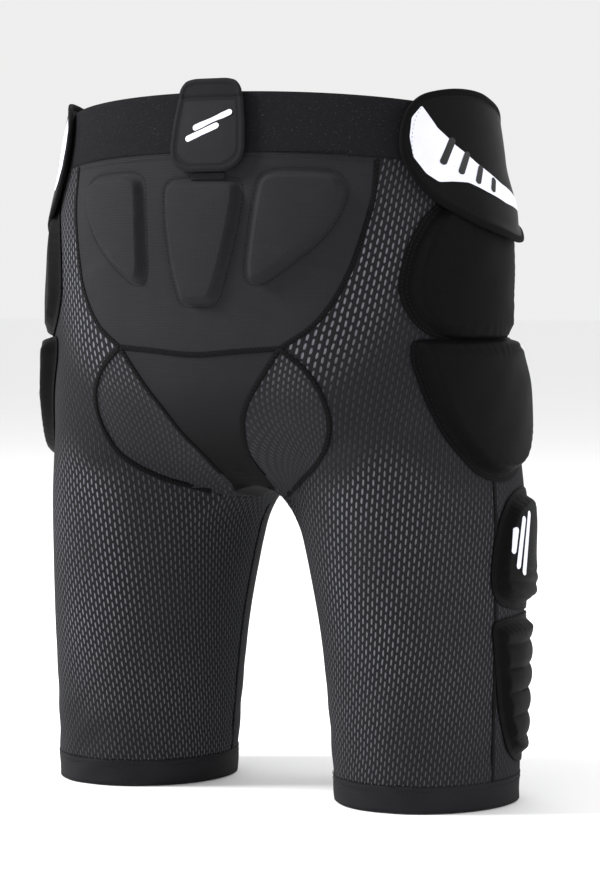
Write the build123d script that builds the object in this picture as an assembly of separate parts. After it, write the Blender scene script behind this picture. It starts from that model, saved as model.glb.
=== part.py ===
"""Padded impact shorts: a stretch shell of sewn panels, foam armour in sewn pockets, two waist straps and a rear tab.

Frame: millimetres, +Z up, the wearer faces -Y, so the back is at +Y and the wearer's right side is at -X.
The origin is on the floor under the middle of the two hems. Every panel is a slice of one wall, which follows
the body form at a stated offset, and every pad and strap is a slice of a layer outside that wall.
"""

import os

from build123d import *

# ---- driving dimensions -------------------------------------------------------------------------------------
TOP_AT_SIDE = 464.4  # height of the waistband's top edge at the sides, where Y = 0
BAND_HEIGHT = 41.0  # waistband, top edge to bottom edge
BAND_SLOPE = 0.16  # the waist rises towards the back by this much per millimetre of Y
HEM_HEIGHT = 18.0
FORM_AXIS_Y = -16.1  # the body form's own axis lies this far in front of the origin
WALL = 2.0  # thickness of the sewn shell
GAP = 0.35  # clearance between pieces of different bodies
REACH = 260.0  # longer than the object is deep, for cutting prisms

# Leg form: height, distance of its centre from the middle, half width, half depth, centre's Y
LEG_FORM = [
    (-12, 114.0, 61.2, 69.0, 0),
    (60, 112.0, 64.0, 73.5, 0),
    (120, 109.5, 68.0, 79.0, 0),
    (160, 105.7, 71.5, 84.0, 0),
    (205, 100.5, 76.0, 89.0, 0),
    (250, 96.0, 75.5, 92.0, 2),
    (290, 93.0, 75.0, 94.0, 4),
    (330, 88.0, 66.0, 84.0, 5),
]
# Torso form: height, half width, reach to the back, reach to the front
TORSO_FORM = [
    (214, 46, 40, 34),
    (230, 90, 70, 58),
    (250, 130, 97, 80),
    (275, 158, 115, 92),
    (300, 169, 121, 97),
    (350, 170.5, 122.5, 98),
    (400, 167.5, 119.5, 97),
    (440, 163, 114, 95),
    (482, 156, 108, 92),
    (515, 152, 105, 91),
]
CROTCH_HEIGHT = TORSO_FORM[0][0]

# Layers outside the wall, as offsets from its outer face
COVER = 1.2  # cloth over a foam pad
COVER_SEAM = 5.0  # flat sewn border of a pad cover, outside its foam
TAPE = 0.9  # hook or loop tape
LINING = 1.0  # inner half of the seat's double wall, behind the tail foams
TAIL_FOAM = 7.0
TAIL_COVER = 1.0
STRAP_CLOTH = 2.2
BINDING_WIDTH = 4.0
BINDING_EXTRA = 0.3  # a binding is this much thicker than its cloth, on each face

os.makedirs("parts", exist_ok=True)


# ---- the body form ------------------------------------------------------------------------------------------
def leg(offset, side):
    """One leg as a solid, grown by offset. side is -1 for the wearer's right and 1 for the left."""
    faces = [
        Pos(side * centre, centre_y, z) * Ellipse(half_width + offset, half_depth + offset)
        for z, centre, half_width, half_depth, centre_y in LEG_FORM
    ]
    return loft(faces)


def torso(offset):
    """The torso as a solid, grown by offset, closed at the crotch."""
    faces = []
    for z, half_width, back, front in TORSO_FORM:
        height = z - offset if z == CROTCH_HEIGHT else z
        ellipse = Ellipse(half_width + offset, (back + front) / 2 + offset)
        faces.append(Pos(0, (back - front) / 2, height) * ellipse)
    return loft(faces)


forms = {}


def form(offset):
    """Torso and both legs, grown by offset. Each offset is made once."""
    if offset not in forms:
        forms[offset] = torso(offset) + leg(offset, -1) + leg(offset, 1)
    return forms[offset]


def layer(zone, inner, outer):
    """The part of a zone that lies between two offsets of the body form."""
    return (zone & form(outer)) - form(inner)


# ---- outlines and the prisms that cut with them ---------------------------------------------------------------
def outline(*curves):
    """A face bounded by curves in turn: two points make a line, and more make a spline."""
    edges = [Line(*points) if len(points) == 2 else Spline(*points) for points in curves]
    return make_face(Wire(edges))


def mirrored(points):
    """The same points on the other side of the middle, in reverse order."""
    return [(-x, z) for x, z in reversed(points)]


def from_back(face, depth=REACH):
    """A prism over an outline drawn in (X, Z), reaching from the middle to the back; negative depth: the front."""
    return extrude(Plane.XZ * face, amount=-depth)


def from_side(face, side, start=0):
    """A prism over an outline drawn in (Y, Z), reaching out on one side from a plane at X = side * start."""
    return Pos(side * start, 0, 0) * extrude(Plane.YZ * face, amount=side * REACH)


def waist_cut(height_at_side):
    """Everything above the sloping waist line that has this height at Y = 0."""
    low, high = height_at_side - BAND_SLOPE * REACH, height_at_side + BAND_SLOPE * REACH
    face = outline(
        [(-REACH, low), (REACH, high)],
        [(REACH, high), (REACH, high + REACH)],
        [(REACH, high + REACH), (-REACH, high + REACH)],
        [(-REACH, high + REACH), (-REACH, low)],
    )
    return extrude(Plane.YZ * face, amount=REACH, both=True)


def slab(low, high):
    """All space between two heights."""
    return Pos(0, 0, (low + high) / 2) * Box(2 * REACH, 2 * REACH, high - low)


def half_space(side):
    """All space on one side of the middle."""
    return Pos(side * REACH / 2, 0, REACH) * Box(REACH, 2 * REACH, 4 * REACH)


SIDES = {"right": -1, "left": 1}

# ---- the wall and the panels it is sewn from ------------------------------------------------------------------
outer_form = form(0)
wall = outer_form - form(-WALL)
wall = wall & slab(0, TOP_AT_SIDE + REACH)
above_waist = waist_cut(TOP_AT_SIDE)
above_band_bottom = waist_cut(TOP_AT_SIDE - BAND_HEIGHT)
band_zone = above_band_bottom - above_waist
pieces = {}

pieces["waistband"] = wall & band_zone
below_band = wall - above_band_bottom
hem_zone = slab(0, HEM_HEIGHT)
hems = below_band & hem_zone
body_cloth = below_band - hem_zone
for name, side in SIDES.items():
    pieces[f"hem_band_{name}"] = hems & half_space(side)

# Seat panel, crotch gusset and inner gussets, as borders in (X, Z) on the wearer's left, from the top down
SEAT_EDGE = [(117, 520), (118, 440), (117, 405), (111, 374), (101, 349), (85, 330), (63, 311)]
SEAT_BOTTOM = [(63, 311), (34, 309), (0, 306), (-34, 309), (-63, 311)]
GUSSET_EDGE = [(63, 311), (46, 289), (32, 270), (23, 251), (17, 233), (16, 190)]
INNER_GUSSET_EDGE = [(63, 311), (79, 298), (89, 280), (90, 258), (78, 236), (58, 221), (16, 204)]
FRONT_EDGE = [(88, 520), (86, 430), (74, 370), (54, 310), (34, 260), (16, 222), (16, 190)]
FRONT_SEAM_OUTER = (176, 20)  # where the seam between front and back leg panels meets the outer side, in (X, Y)
FRONT_SEAM_INNER = (48, -16)  # and the inner side

seat_zone = from_back(outline(SEAT_EDGE, SEAT_BOTTOM, mirrored(SEAT_EDGE), [(-117, 520), (117, 520)]))
gusset_back = from_back(
    outline(SEAT_BOTTOM, mirrored(GUSSET_EDGE)[::-1], [(-16, 190), (16, 190)], GUSSET_EDGE[::-1])
)
front_outline = outline(FRONT_EDGE, [(16, 190), (-16, 190)], mirrored(FRONT_EDGE), [(-88, 520), (88, 520)])
front_zone = from_back(front_outline, -REACH)

pieces["seat_panel"] = body_cloth & seat_zone
rest_of_cloth = body_cloth - seat_zone
pieces["crotch_gusset"] = rest_of_cloth & gusset_back
rest_of_cloth = rest_of_cloth - gusset_back
pieces["front_centre_panel"] = rest_of_cloth & front_zone
rest_of_cloth = rest_of_cloth - front_zone

for name, side in SIDES.items():
    edge = INNER_GUSSET_EDGE if side > 0 else [(-x, z) for x, z in INNER_GUSSET_EDGE]
    inner = GUSSET_EDGE if side > 0 else [(-x, z) for x, z in GUSSET_EDGE]
    tip, low = edge[-1], inner[-1]
    inner_zone = from_back(outline(edge, [tip, low], inner[::-1]))
    pieces[f"inner_gusset_{name}"] = rest_of_cloth & inner_zone
    leg_cloth = (rest_of_cloth - inner_zone) & half_space(side)
    outer_x, outer_y = FRONT_SEAM_OUTER
    inner_x, inner_y = FRONT_SEAM_INNER
    slope = (outer_y - inner_y) / (outer_x - inner_x)
    at_middle = inner_y - slope * inner_x
    at_far = at_middle + slope * REACH
    front_half = make_face(
        Polyline((0, at_middle), (side * REACH, at_far), (side * REACH, -REACH), (0, -REACH), close=True)
    )
    front_half = Pos(0, 0, -REACH) * extrude(front_half, amount=4 * REACH)
    pieces[f"front_leg_panel_{name}"] = leg_cloth & front_half
    pieces[f"rear_leg_mesh_{name}"] = leg_cloth - front_half


# ---- seat armour: a lining, three foams and the seat panel over them -------------------------------------------
# Tail foams as borders in (X, Z), from the top outer corner round
TAIL_SIDE_EDGE = [(100.5, 412), (98.5, 421), (91, 425.5), (74, 427), (57, 427), (47.5, 423), (44.5, 411)]
TAIL_SIDE_EDGE = TAIL_SIDE_EDGE + [(42, 388), (40.2, 366), (42, 356.5), (49, 355), (57, 359), (70, 368.5)]
TAIL_SIDE_EDGE = TAIL_SIDE_EDGE + [(85, 381.5), (95.5, 396), (100.5, 412)]
TAIL_CENTRE_EDGE = [(-28.5, 414), (-24, 420), (24, 420), (28.5, 414), (26.2, 392), (20.8, 366), (14.5, 346)]
TAIL_CENTRE_EDGE = TAIL_CENTRE_EDGE + [(9, 340.5), (-9, 340.5), (-14.5, 346), (-20.8, 366), (-26.2, 392)]
TAIL_CENTRE_EDGE = TAIL_CENTRE_EDGE + [(-28.5, 414)]
TAIL_CENTRE_SHIFT = -4  # the centre foam sits a little to the wearer's right

tail_faces = {
    "left": make_face(Polyline(*TAIL_SIDE_EDGE)),
    "centre": Pos(TAIL_CENTRE_SHIFT, 0) * make_face(Polyline(*TAIL_CENTRE_EDGE)),
    "right": mirror(make_face(Polyline(*TAIL_SIDE_EDGE)), Plane.YZ),
}
seat = pieces["seat_panel"]
pieces["seat_lining"] = seat & form(-LINING)
seat = seat - form(-LINING)
for name, face in tail_faces.items():
    pieces[f"tail_pad_{name}"] = layer(from_back(face), -LINING, TAIL_FOAM)
    cap = from_back(offset(face, TAIL_COVER, kind=Kind.INTERSECTION))
    seat = seat + layer(cap, -LINING, TAIL_FOAM + TAIL_COVER)
for name in tail_faces:
    seat = seat - pieces[f"tail_pad_{name}"]
pieces["seat_panel"] = seat

# ---- side armour: foam under a sewn cover, drawn in (Y, Z) ------------------------------------------------------
HIP_REAR_EDGE = [(60, 405), (67, 397), (74.5, 382), (79, 367), (81, 352), (80, 341), (76.5, 330), (70, 323.5)]
HIP_LOWER_EDGE = [(60, 319.8), (42, 317.5), (10, 318), (-6, 319.8), (-12.5, 328), (-19, 350), (-24, 368)]
HIP_UPPER_EDGE = [(-24, 381), (-8, 382), (11, 384.5), (33, 391.5), (50, 399.5), (60, 405)]
HIP_FLAP_EDGE = [(-27, 400), (-20, 422), (10, 427.5), (38, 426.5), (52, 417), (60, 405)]  # flat, under the strap
SIDE_THIGH_EDGE = [(76.5, 311.5), (76.5, 302), (74.2, 290), (70.2, 275.5), (64.2, 262), (56.2, 248.5)]
SIDE_THIGH_EDGE = SIDE_THIGH_EDGE + [(47.5, 237.5), (38.5, 228.5), (29, 223.5), (18, 220.8), (4, 220.5)]
SIDE_THIGH_EDGE = SIDE_THIGH_EDGE + [(-10, 223.2), (-26, 231), (-43, 246), (-53, 266), (-56.5, 288), (-50, 307)]
SIDE_THIGH_EDGE = SIDE_THIGH_EDGE + [(-32, 314.5), (10, 315.5), (45, 314.8), (74.5, 314.4), (76.5, 311.5)]
PATCH_EDGE = [(-20, 215), (1, 210), (11.5, 201.5), (17.5, 192), (22.2, 179), (25, 163), (24.8, 151), (19.5, 140.5)]
PATCH_EDGE = PATCH_EDGE + [(7, 135), (-18, 131.5), (-40, 132.5), (-54, 144), (-60, 170), (-54, 198)]
PATCH_EDGE = PATCH_EDGE + [(-40, 211.5), (-20, 215)]
CHANNEL_EDGE = [(23.5, 123), (22.2, 108), (19, 87), (15, 66), (9, 48.5), (1.5, 36.5), (-10, 29.2), (-30, 27)]
CHANNEL_EDGE = CHANNEL_EDGE + [(-46, 34), (-56, 55), (-60, 85), (-58.5, 112), (-52, 126.5), (-15, 128.5)]
CHANNEL_EDGE = CHANNEL_EDGE + [(16, 127.5), (23.5, 123)]
HIP_EDGE = HIP_REAR_EDGE + HIP_LOWER_EDGE + HIP_UPPER_EDGE
# Where each pad lies: the outline of the raised pad, its foam's thickness, and the outline of the sewn-down cover
SIDE_ARMOUR = {
    "hip": (HIP_EDGE, 7.0, HIP_REAR_EDGE + HIP_LOWER_EDGE + HIP_FLAP_EDGE),
    "side_thigh": (SIDE_THIGH_EDGE, 11.0, SIDE_THIGH_EDGE),
    "thigh_patch": (PATCH_EDGE, 7.5, PATCH_EDGE),
    "outer_thigh": (CHANNEL_EDGE, 5.0, CHANNEL_EDGE),
}
ARMOUR_START = 105  # inside the outer half of each leg, so that a prism misses the leg's inner side


def armour(edge, foam_thickness, cover_edge):
    """A foam pad and the cover sewn over it on the left."""
    face = make_face(Polyline(*edge))
    cover_face = make_face(Polyline(*cover_edge))
    foam_face = offset(face, -COVER_SEAM, kind=Kind.INTERSECTION)
    crown_face = offset(face, COVER - COVER_SEAM, kind=Kind.INTERSECTION)
    foam = layer(from_side(foam_face, SIDES["left"], ARMOUR_START), 0, foam_thickness)
    border = layer(from_side(cover_face, SIDES["left"], ARMOUR_START), 0, COVER)
    crown = layer(from_side(crown_face, SIDES["left"], ARMOUR_START), 0, foam_thickness + COVER)
    return foam, border + crown - foam


for place, (edge, foam_thickness, cover_edge) in SIDE_ARMOUR.items():
    foam, cover = armour(edge, foam_thickness, cover_edge)
    pieces[f"{place}_pad_left"] = foam
    pieces[f"{place}_cover_left"] = cover
    pieces[f"{place}_pad_right"] = mirror(foam, Plane.YZ)
    pieces[f"{place}_cover_right"] = mirror(cover, Plane.YZ)

# ---- waist straps, drawn in (Y, Z): each swings on the line where its front end is sewn down --------------------
STRAP_FRONT = -56.0
STRAP_EDGE = [(STRAP_FRONT, 454), (-30, 466), (1, 475.8), (17, 480.3), (35, 481.8), (50, 479.8), (59.5, 475.5)]
STRAP_EDGE = STRAP_EDGE + [(66.5, 466), (71.2, 452), (72.8, 437), (70, 423), (63.5, 410.5), (50, 399), (33, 390)]
STRAP_EDGE = STRAP_EDGE + [(11, 383.2), (-8, 381.2), (-30, 386.5), (STRAP_FRONT, 404)]
ANCHOR_GAP = 6.0  # free cloth between the sewn end and the strap, room for the strap to fold
ANCHOR_LENGTH = 14.0
LANDING = (8, 52, 434, 464)  # loop tape on the waistband: rear and front ends, then lowest and highest edges
HOOK_MARGIN = 3.0


def plate(low_y, high_y, low_z, high_z):
    """A rectangle in the drawing plane."""
    return Pos((low_y + high_y) / 2, (low_z + high_z) / 2) * Rectangle(high_y - low_y, high_z - low_z)


def grown_plate(bounds, amount):
    """A rectangle's bounds, grown by an amount on every side."""
    low_u, high_u, low_v, high_v = bounds
    return low_u - amount, high_u + amount, low_v - amount, high_v + amount


HOOK_INNER = TAPE + GAP
CLOTH_INNER = HOOK_INNER + TAPE
CLOTH_OUTER = CLOTH_INNER + STRAP_CLOTH
STRAP_FACETS = 36
strap_curve = Spline(*STRAP_EDGE)
strap_points = [strap_curve @ (i / STRAP_FACETS) for i in range(STRAP_FACETS + 1)]
strap_face = make_face(Polyline(*strap_points, close=True))
strap_inner_face = offset(strap_face, -BINDING_WIDTH, kind=Kind.INTERSECTION)

for name, side in SIDES.items():
    landing = from_side(plate(*LANDING), side)
    hook = from_side(plate(*grown_plate(LANDING, -HOOK_MARGIN)), side)
    anchor = plate(STRAP_FRONT - ANCHOR_GAP - ANCHOR_LENGTH, STRAP_FRONT - ANCHOR_GAP, 410, 447)
    rim = from_side(strap_face - strap_inner_face, side)
    pieces[f"strap_landing_{name}"] = layer(landing, 0, TAPE)
    pieces[f"strap_hook_{name}"] = layer(hook, HOOK_INNER, CLOTH_INNER)
    pieces[f"strap_cloth_{name}"] = layer(from_side(strap_inner_face, side), CLOTH_INNER, CLOTH_OUTER)
    pieces[f"strap_binding_{name}"] = layer(rim, CLOTH_INNER - BINDING_EXTRA, CLOTH_OUTER + BINDING_EXTRA)
    pieces[f"strap_anchor_{name}"] = layer(from_side(anchor, side), 0, COVER)

# ---- rear tab, drawn in (X, Z): it folds down on the line where its lower end is sewn to the seat ---------------
TAB_MIDDLE = -8  # the tab sits a little to the wearer's right
TAB_BOTTOM = 427.5
TAB_HALF_EDGE = [(14, TAB_BOTTOM), (24.5, 433), (27.5, 440), (25.8, 462), (23, 478), (20.5, 485), (13, 489.5)]
TAB_PANEL_HALF_EDGE = [(12, 431), (21, 435.5), (23.5, 441), (22, 460), (20.5, 476)]
TAB_LANDING = (TAB_MIDDLE - 18, TAB_MIDDLE + 18, 447, 475)
TAB_BASE = 1.4
TAB_PANEL = 1.2
TAB_ANCHOR = (TAB_MIDDLE - 13, TAB_MIDDLE + 13, 423, TAB_BOTTOM - GAP)

tab_face = Pos(TAB_MIDDLE, 0) * make_face(Polyline(*TAB_HALF_EDGE, *mirrored(TAB_HALF_EDGE), close=True))
tab_panel_edge = TAB_PANEL_HALF_EDGE + mirrored(TAB_PANEL_HALF_EDGE)
tab_panel_face = Pos(TAB_MIDDLE, 0) * make_face(Polyline(*tab_panel_edge, close=True))
tab_hook = plate(*grown_plate(TAB_LANDING, -HOOK_MARGIN))
pieces["tab_landing"] = layer(from_back(plate(*TAB_LANDING)), 0, TAPE)
pieces["tab_hook"] = layer(from_back(tab_hook), HOOK_INNER, CLOTH_INNER)
pieces["tab_base"] = layer(from_back(tab_face), CLOTH_INNER, CLOTH_INNER + TAB_BASE)
pieces["tab_panel"] = layer(from_back(tab_panel_face), CLOTH_INNER + TAB_BASE, CLOTH_INNER + TAB_BASE + TAB_PANEL)
pieces["tab_anchor"] = layer(from_back(plate(*TAB_ANCHOR)), 0, TAPE)

# ---- leg grippers: silicone bands inside the hems ---------------------------------------------------------------
GRIPPER_THICKNESS = 0.8
GRIPPER_EDGES = (4.0, 14.0)
gripper_ring = layer(slab(*GRIPPER_EDGES), -WALL - GRIPPER_THICKNESS, -WALL)
for name, side in SIDES.items():
    pieces[f"leg_gripper_{name}"] = gripper_ring & half_space(side)

# The body form is drawn about its own axis, and the origin is under the middle of the whole object.
for name, piece in pieces.items():
    print(name, len(piece.solids()), round(piece.volume))
    export_step(Pos(0, FORM_AXIS_Y, 0) * piece, f"parts/{name}.step")
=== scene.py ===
"""Padded impact shorts: cloth, foam covers, straps, seams and prints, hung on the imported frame.

Everything is in metres. The body form is worked out about its own axis, as in the CAD source, and
FORM_AXIS_Y moves it into the frame: +Z up, the wearer faces -Y, the wearer's right is at -X.
"""

from math import cos, pi, radians, sin

import bpy
import numpy as np
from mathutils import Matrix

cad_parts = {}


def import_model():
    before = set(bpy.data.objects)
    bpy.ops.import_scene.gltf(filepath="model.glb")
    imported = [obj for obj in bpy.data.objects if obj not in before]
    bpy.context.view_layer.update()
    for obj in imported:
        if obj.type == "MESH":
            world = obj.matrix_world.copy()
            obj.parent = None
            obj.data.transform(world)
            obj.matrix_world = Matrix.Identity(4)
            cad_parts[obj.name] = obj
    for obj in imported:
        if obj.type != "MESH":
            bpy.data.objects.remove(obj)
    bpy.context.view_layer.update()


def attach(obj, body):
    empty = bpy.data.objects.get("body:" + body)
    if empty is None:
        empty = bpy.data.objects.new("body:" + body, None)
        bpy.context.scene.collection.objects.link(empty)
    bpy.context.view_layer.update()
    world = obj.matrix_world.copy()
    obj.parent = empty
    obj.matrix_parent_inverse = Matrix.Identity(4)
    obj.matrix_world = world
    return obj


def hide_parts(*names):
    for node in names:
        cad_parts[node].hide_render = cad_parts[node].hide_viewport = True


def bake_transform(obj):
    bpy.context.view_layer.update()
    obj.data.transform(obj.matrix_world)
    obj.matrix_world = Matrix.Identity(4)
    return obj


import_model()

# ---- driving dimensions ----
FORM_AXIS_Y = -0.0161
TOP_AT_SIDE = 0.4644
BAND_HEIGHT = 0.041
BAND_SLOPE = 0.16
HEM_HEIGHT = 0.018
CLOTH = 0.0012
GRID = 0.0034
CROTCH_HEIGHT = 0.214
SIDES = {"right": -1, "left": 1}
STITCH_RADIUS = 0.00022
COVER_SEAM = 0.0042
POCKET_MOUTH = 0.3165  # where the hip and side thigh pads meet
RIB_PITCH = 0.0165
STRAP_FRONT = -0.0555  # the strap ends behind its hinge line
TAB_MIDDLE = -0.008  # the tab hangs a little to the wearer's right

# Leg form: height, distance from the middle, half width, half depth, centre's Y
LEG_FORM = np.array([
    (-0.012, 0.1140, 0.0612, 0.0690, 0),
    (0.060, 0.1120, 0.0640, 0.0735, 0),
    (0.120, 0.1095, 0.0680, 0.0790, 0),
    (0.160, 0.1057, 0.0715, 0.0840, 0),
    (0.205, 0.1005, 0.0760, 0.0890, 0),
    (0.250, 0.0960, 0.0755, 0.0920, 0.002),
    (0.290, 0.0930, 0.0750, 0.0940, 0.004),
    (0.330, 0.0880, 0.0660, 0.0840, 0.005),
])
# Torso form: height, half width, reach to the back, reach to the front
TORSO_FORM = np.array([
    (0.214, 0.046, 0.040, 0.034),
    (0.230, 0.090, 0.070, 0.058),
    (0.250, 0.130, 0.097, 0.080),
    (0.275, 0.158, 0.115, 0.092),
    (0.300, 0.169, 0.121, 0.097),
    (0.350, 0.1705, 0.1225, 0.098),
    (0.400, 0.1675, 0.1195, 0.097),
    (0.440, 0.163, 0.114, 0.095),
    (0.482, 0.156, 0.108, 0.092),
    (0.515, 0.152, 0.105, 0.091),
])


# ---- the body form as a distance field ----
def along(table, z):
    """The table's columns at heights z, by smooth cubic interpolation."""
    knots, values = table[:, 0], table[:, 1:]
    slopes = np.gradient(values, knots, axis=0)
    z = np.clip(z, knots[0], knots[-1])
    i = np.clip(np.searchsorted(knots, z) - 1, 0, len(knots) - 2)
    width = knots[i + 1] - knots[i]
    t = ((z - knots[i]) / width)[..., None]
    width = width[..., None]
    low = values[i] * (2 * t**3 - 3 * t**2 + 1) + slopes[i] * width * (t**3 - 2 * t**2 + t)
    high = values[i + 1] * (3 * t**2 - 2 * t**3) + slopes[i + 1] * width * (t**3 - t**2)
    return np.moveaxis(low + high, -1, 0)


def step(value, low, high):
    """Smooth step from 0 at low to 1 at high."""
    t = np.clip((value - low) / (high - low), 0, 1)
    return t * t * (3 - 2 * t)


def to_ellipse(x, y, half_width, half_depth):
    reach = np.sqrt(x * x + y * y) + 1e-9
    scale = np.sqrt((x / half_width) ** 2 + (y / half_depth) ** 2) + 1e-9
    return reach * (1 - 1 / scale)


def form(p):
    """Distance from the body form's surface, negative inside."""
    x, y, z = p[..., 0], p[..., 1], p[..., 2]
    half_width, back, front = along(TORSO_FORM, z)
    torso = to_ellipse(x, y - (back - front) / 2, half_width, (back + front) / 2)
    torso = np.maximum(torso, CROTCH_HEIGHT - z)
    centre, leg_width, leg_depth, leg_y = along(LEG_FORM, z)
    leg = to_ellipse(np.abs(x) - centre, y - leg_y, leg_width, leg_depth)
    leg = np.maximum(leg, z - 0.345)
    blend = 0.010 + 0.026 * step(np.abs(x), 0.14, 0.06)
    mix = np.clip(0.5 + 0.5 * (leg - torso) / blend, 0, 1)
    return leg * (1 - mix) + torso * mix - blend * mix * (1 - mix)


def normals_at(p):
    """Unit vectors out of the form at points near it."""
    reach = 0.0015
    slope = np.stack([form(p + o) - form(p - o) for o in np.eye(3) * reach], axis=-1)
    return slope / (np.linalg.norm(slope, axis=-1, keepdims=True) + 1e-12)


def march(start, direction):
    """Points where rays from outside first meet the form."""
    p = np.array(start, dtype=float)
    direction = np.broadcast_to(direction, p.shape)
    for _ in range(90):
        p = p + direction * (form(p) * 0.7)[..., None]
    return p


def on_back(x, z):
    x, z = np.broadcast_arrays(np.asarray(x, float), np.asarray(z, float))
    return march(np.stack([x, np.full_like(x, 0.17), z], axis=-1), (0, -1, 0))


def on_front(x, z):
    x, z = np.broadcast_arrays(np.asarray(x, float), np.asarray(z, float))
    return march(np.stack([x, np.full_like(x, -0.15), z], axis=-1), (0, 1, 0))


def on_side(side):
    def place(y, z):
        y, z = np.broadcast_arrays(np.asarray(y, float), np.asarray(z, float))
        return march(np.stack([np.full_like(y, side * 0.23), y, z], axis=-1), (-side, 0, 0))

    return place


def around_leg(angle, z, side):
    """Points on a leg at angles from the outer side, turning through the back."""
    angle, z = np.broadcast_arrays(np.asarray(angle, float), np.asarray(z, float))
    centre, _, _, leg_y = along(LEG_FORM, z)
    out = np.stack([side * np.cos(angle), np.sin(angle), np.zeros_like(angle)], axis=-1)
    start = np.stack([side * centre, leg_y, z], axis=-1) + out * 0.1
    return march(start, -out)


def around_waist(angle, z):
    """Points on the torso at angles from the wearer's left side, turning through the back."""
    angle, z = np.broadcast_arrays(np.asarray(angle, float), np.asarray(z, float))
    out = np.stack([np.cos(angle), np.sin(angle), np.zeros_like(angle)], axis=-1)
    centre = np.stack([np.zeros_like(z), np.full_like(z, 0.010), z], axis=-1)
    return march(centre + out * 0.21, -out)


def waist_line(y, drop=0.0):
    return TOP_AT_SIDE + BAND_SLOPE * y - drop


# ---- outlines ----
def curve_through(points, count, closed=True):
    """A smooth curve through points, sampled evenly by length."""
    p = np.array(points, float)
    if closed:
        ring = np.vstack([p[-1], p, p[0], p[1]])
    else:
        ring = np.vstack([2 * p[0] - p[1], p, 2 * p[-1] - p[-2]])
    dense = []
    for a, b, c, d in zip(ring[:-3], ring[1:-2], ring[2:-1], ring[3:]):
        for t in np.linspace(0, 1, 24, endpoint=False):
            dense.append(0.5 * (2 * b + (c - a) * t + (2 * a - 5 * b + 4 * c - d) * t**2
                                + (3 * b - a - 3 * c + d) * t**3))
    dense.append(ring[-2])
    return resample(np.array(dense), count, closed)


def resample(points, count, closed=True):
    """Points spaced evenly by length along a path. A closed path's last point isn't repeated."""
    if closed and np.linalg.norm(points[0] - points[-1]) > 1e-9:
        points = np.vstack([points, points[:1]])
    length = np.concatenate([[0], np.cumsum(np.linalg.norm(np.diff(points, axis=0), axis=1))])
    if closed:
        wanted = np.linspace(0, length[-1], count + 1)[:-1]
    else:
        wanted = np.linspace(0, length[-1], count)
    columns = [np.interp(wanted, length, column) for column in points.T]
    return np.stack(columns, axis=-1)


def inside_by(outline, q):
    """How far points q lie inside a closed outline; negative outside."""
    a, b = outline, np.roll(outline, -1, axis=0)
    edge = b - a
    best = np.full(len(q), 1e9)
    crossings = np.zeros(len(q), int)
    for start, along_edge, end in zip(a, edge, b):
        t = np.clip(((q - start) @ along_edge) / (along_edge @ along_edge + 1e-18), 0, 1)
        best = np.minimum(best, np.linalg.norm(q - start - t[:, None] * along_edge, axis=1))
        straddles = (start[1] > q[:, 1]) != (end[1] > q[:, 1])
        rise = end[1] - start[1]
        at = start[0] + (q[:, 1] - start[1]) * along_edge[0] / (rise if abs(rise) > 1e-12 else 1e-12)
        crossings += straddles & (q[:, 0] < at)
    return np.where(crossings % 2 == 1, best, -best)


def mirrored(points):
    return [(-x, z) for x, z in reversed(points)]


# ---- meshes ----
def grid_faces(rows, columns, closed=True):
    """Quads between neighbouring rows of points. A closed grid also joins the two ends of each row."""
    faces = []
    for row in range(rows - 1):
        low = row * columns
        for k in range(columns if closed else columns - 1):
            after = (k + 1) % columns
            faces.append((low + k, low + after, low + columns + after, low + columns + k))
    return faces


def make_object(name, points, faces, uv=None, smooth=True):
    """A mesh object from points about the form's axis, with its cloth coordinates in metres as its UV map."""
    mesh = bpy.data.meshes.new(name)
    placed = np.array(points, float) + (0, FORM_AXIS_Y, 0)
    mesh.from_pydata(placed.tolist(), [], [list(map(int, f)) for f in faces])
    mesh.update()
    if uv is not None:
        layer = mesh.uv_layers.new(name="cloth")
        corners = np.zeros(len(mesh.loops), int)
        mesh.loops.foreach_get("vertex_index", corners)
        layer.data.foreach_set("uv", np.array(uv, float)[corners].ravel())
    if smooth:
        mesh.polygons.foreach_set("use_smooth", [True] * len(mesh.polygons))
    obj = bpy.data.objects.new(name, mesh)
    bpy.context.scene.collection.objects.link(obj)
    return obj


def paint(obj, name, values):
    """A value for each vertex, which materials read by name."""
    attribute = obj.data.attributes.new(name, "FLOAT", "POINT")
    attribute.data.foreach_set("value", np.asarray(values, float))


def apply_modifier(obj, kind, **settings):
    modifier = obj.modifiers.new(kind.title(), kind)
    for key, value in settings.items():
        setattr(modifier, key, value)
    with bpy.context.temp_override(object=obj, active_object=obj, selected_objects=[obj]):
        bpy.ops.object.modifier_apply(modifier=modifier.name)


def thicken(obj, thickness, offset=-1.0):
    apply_modifier(obj, "SOLIDIFY", thickness=thickness, offset=offset, use_even_offset=False, use_rim=True)


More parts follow.
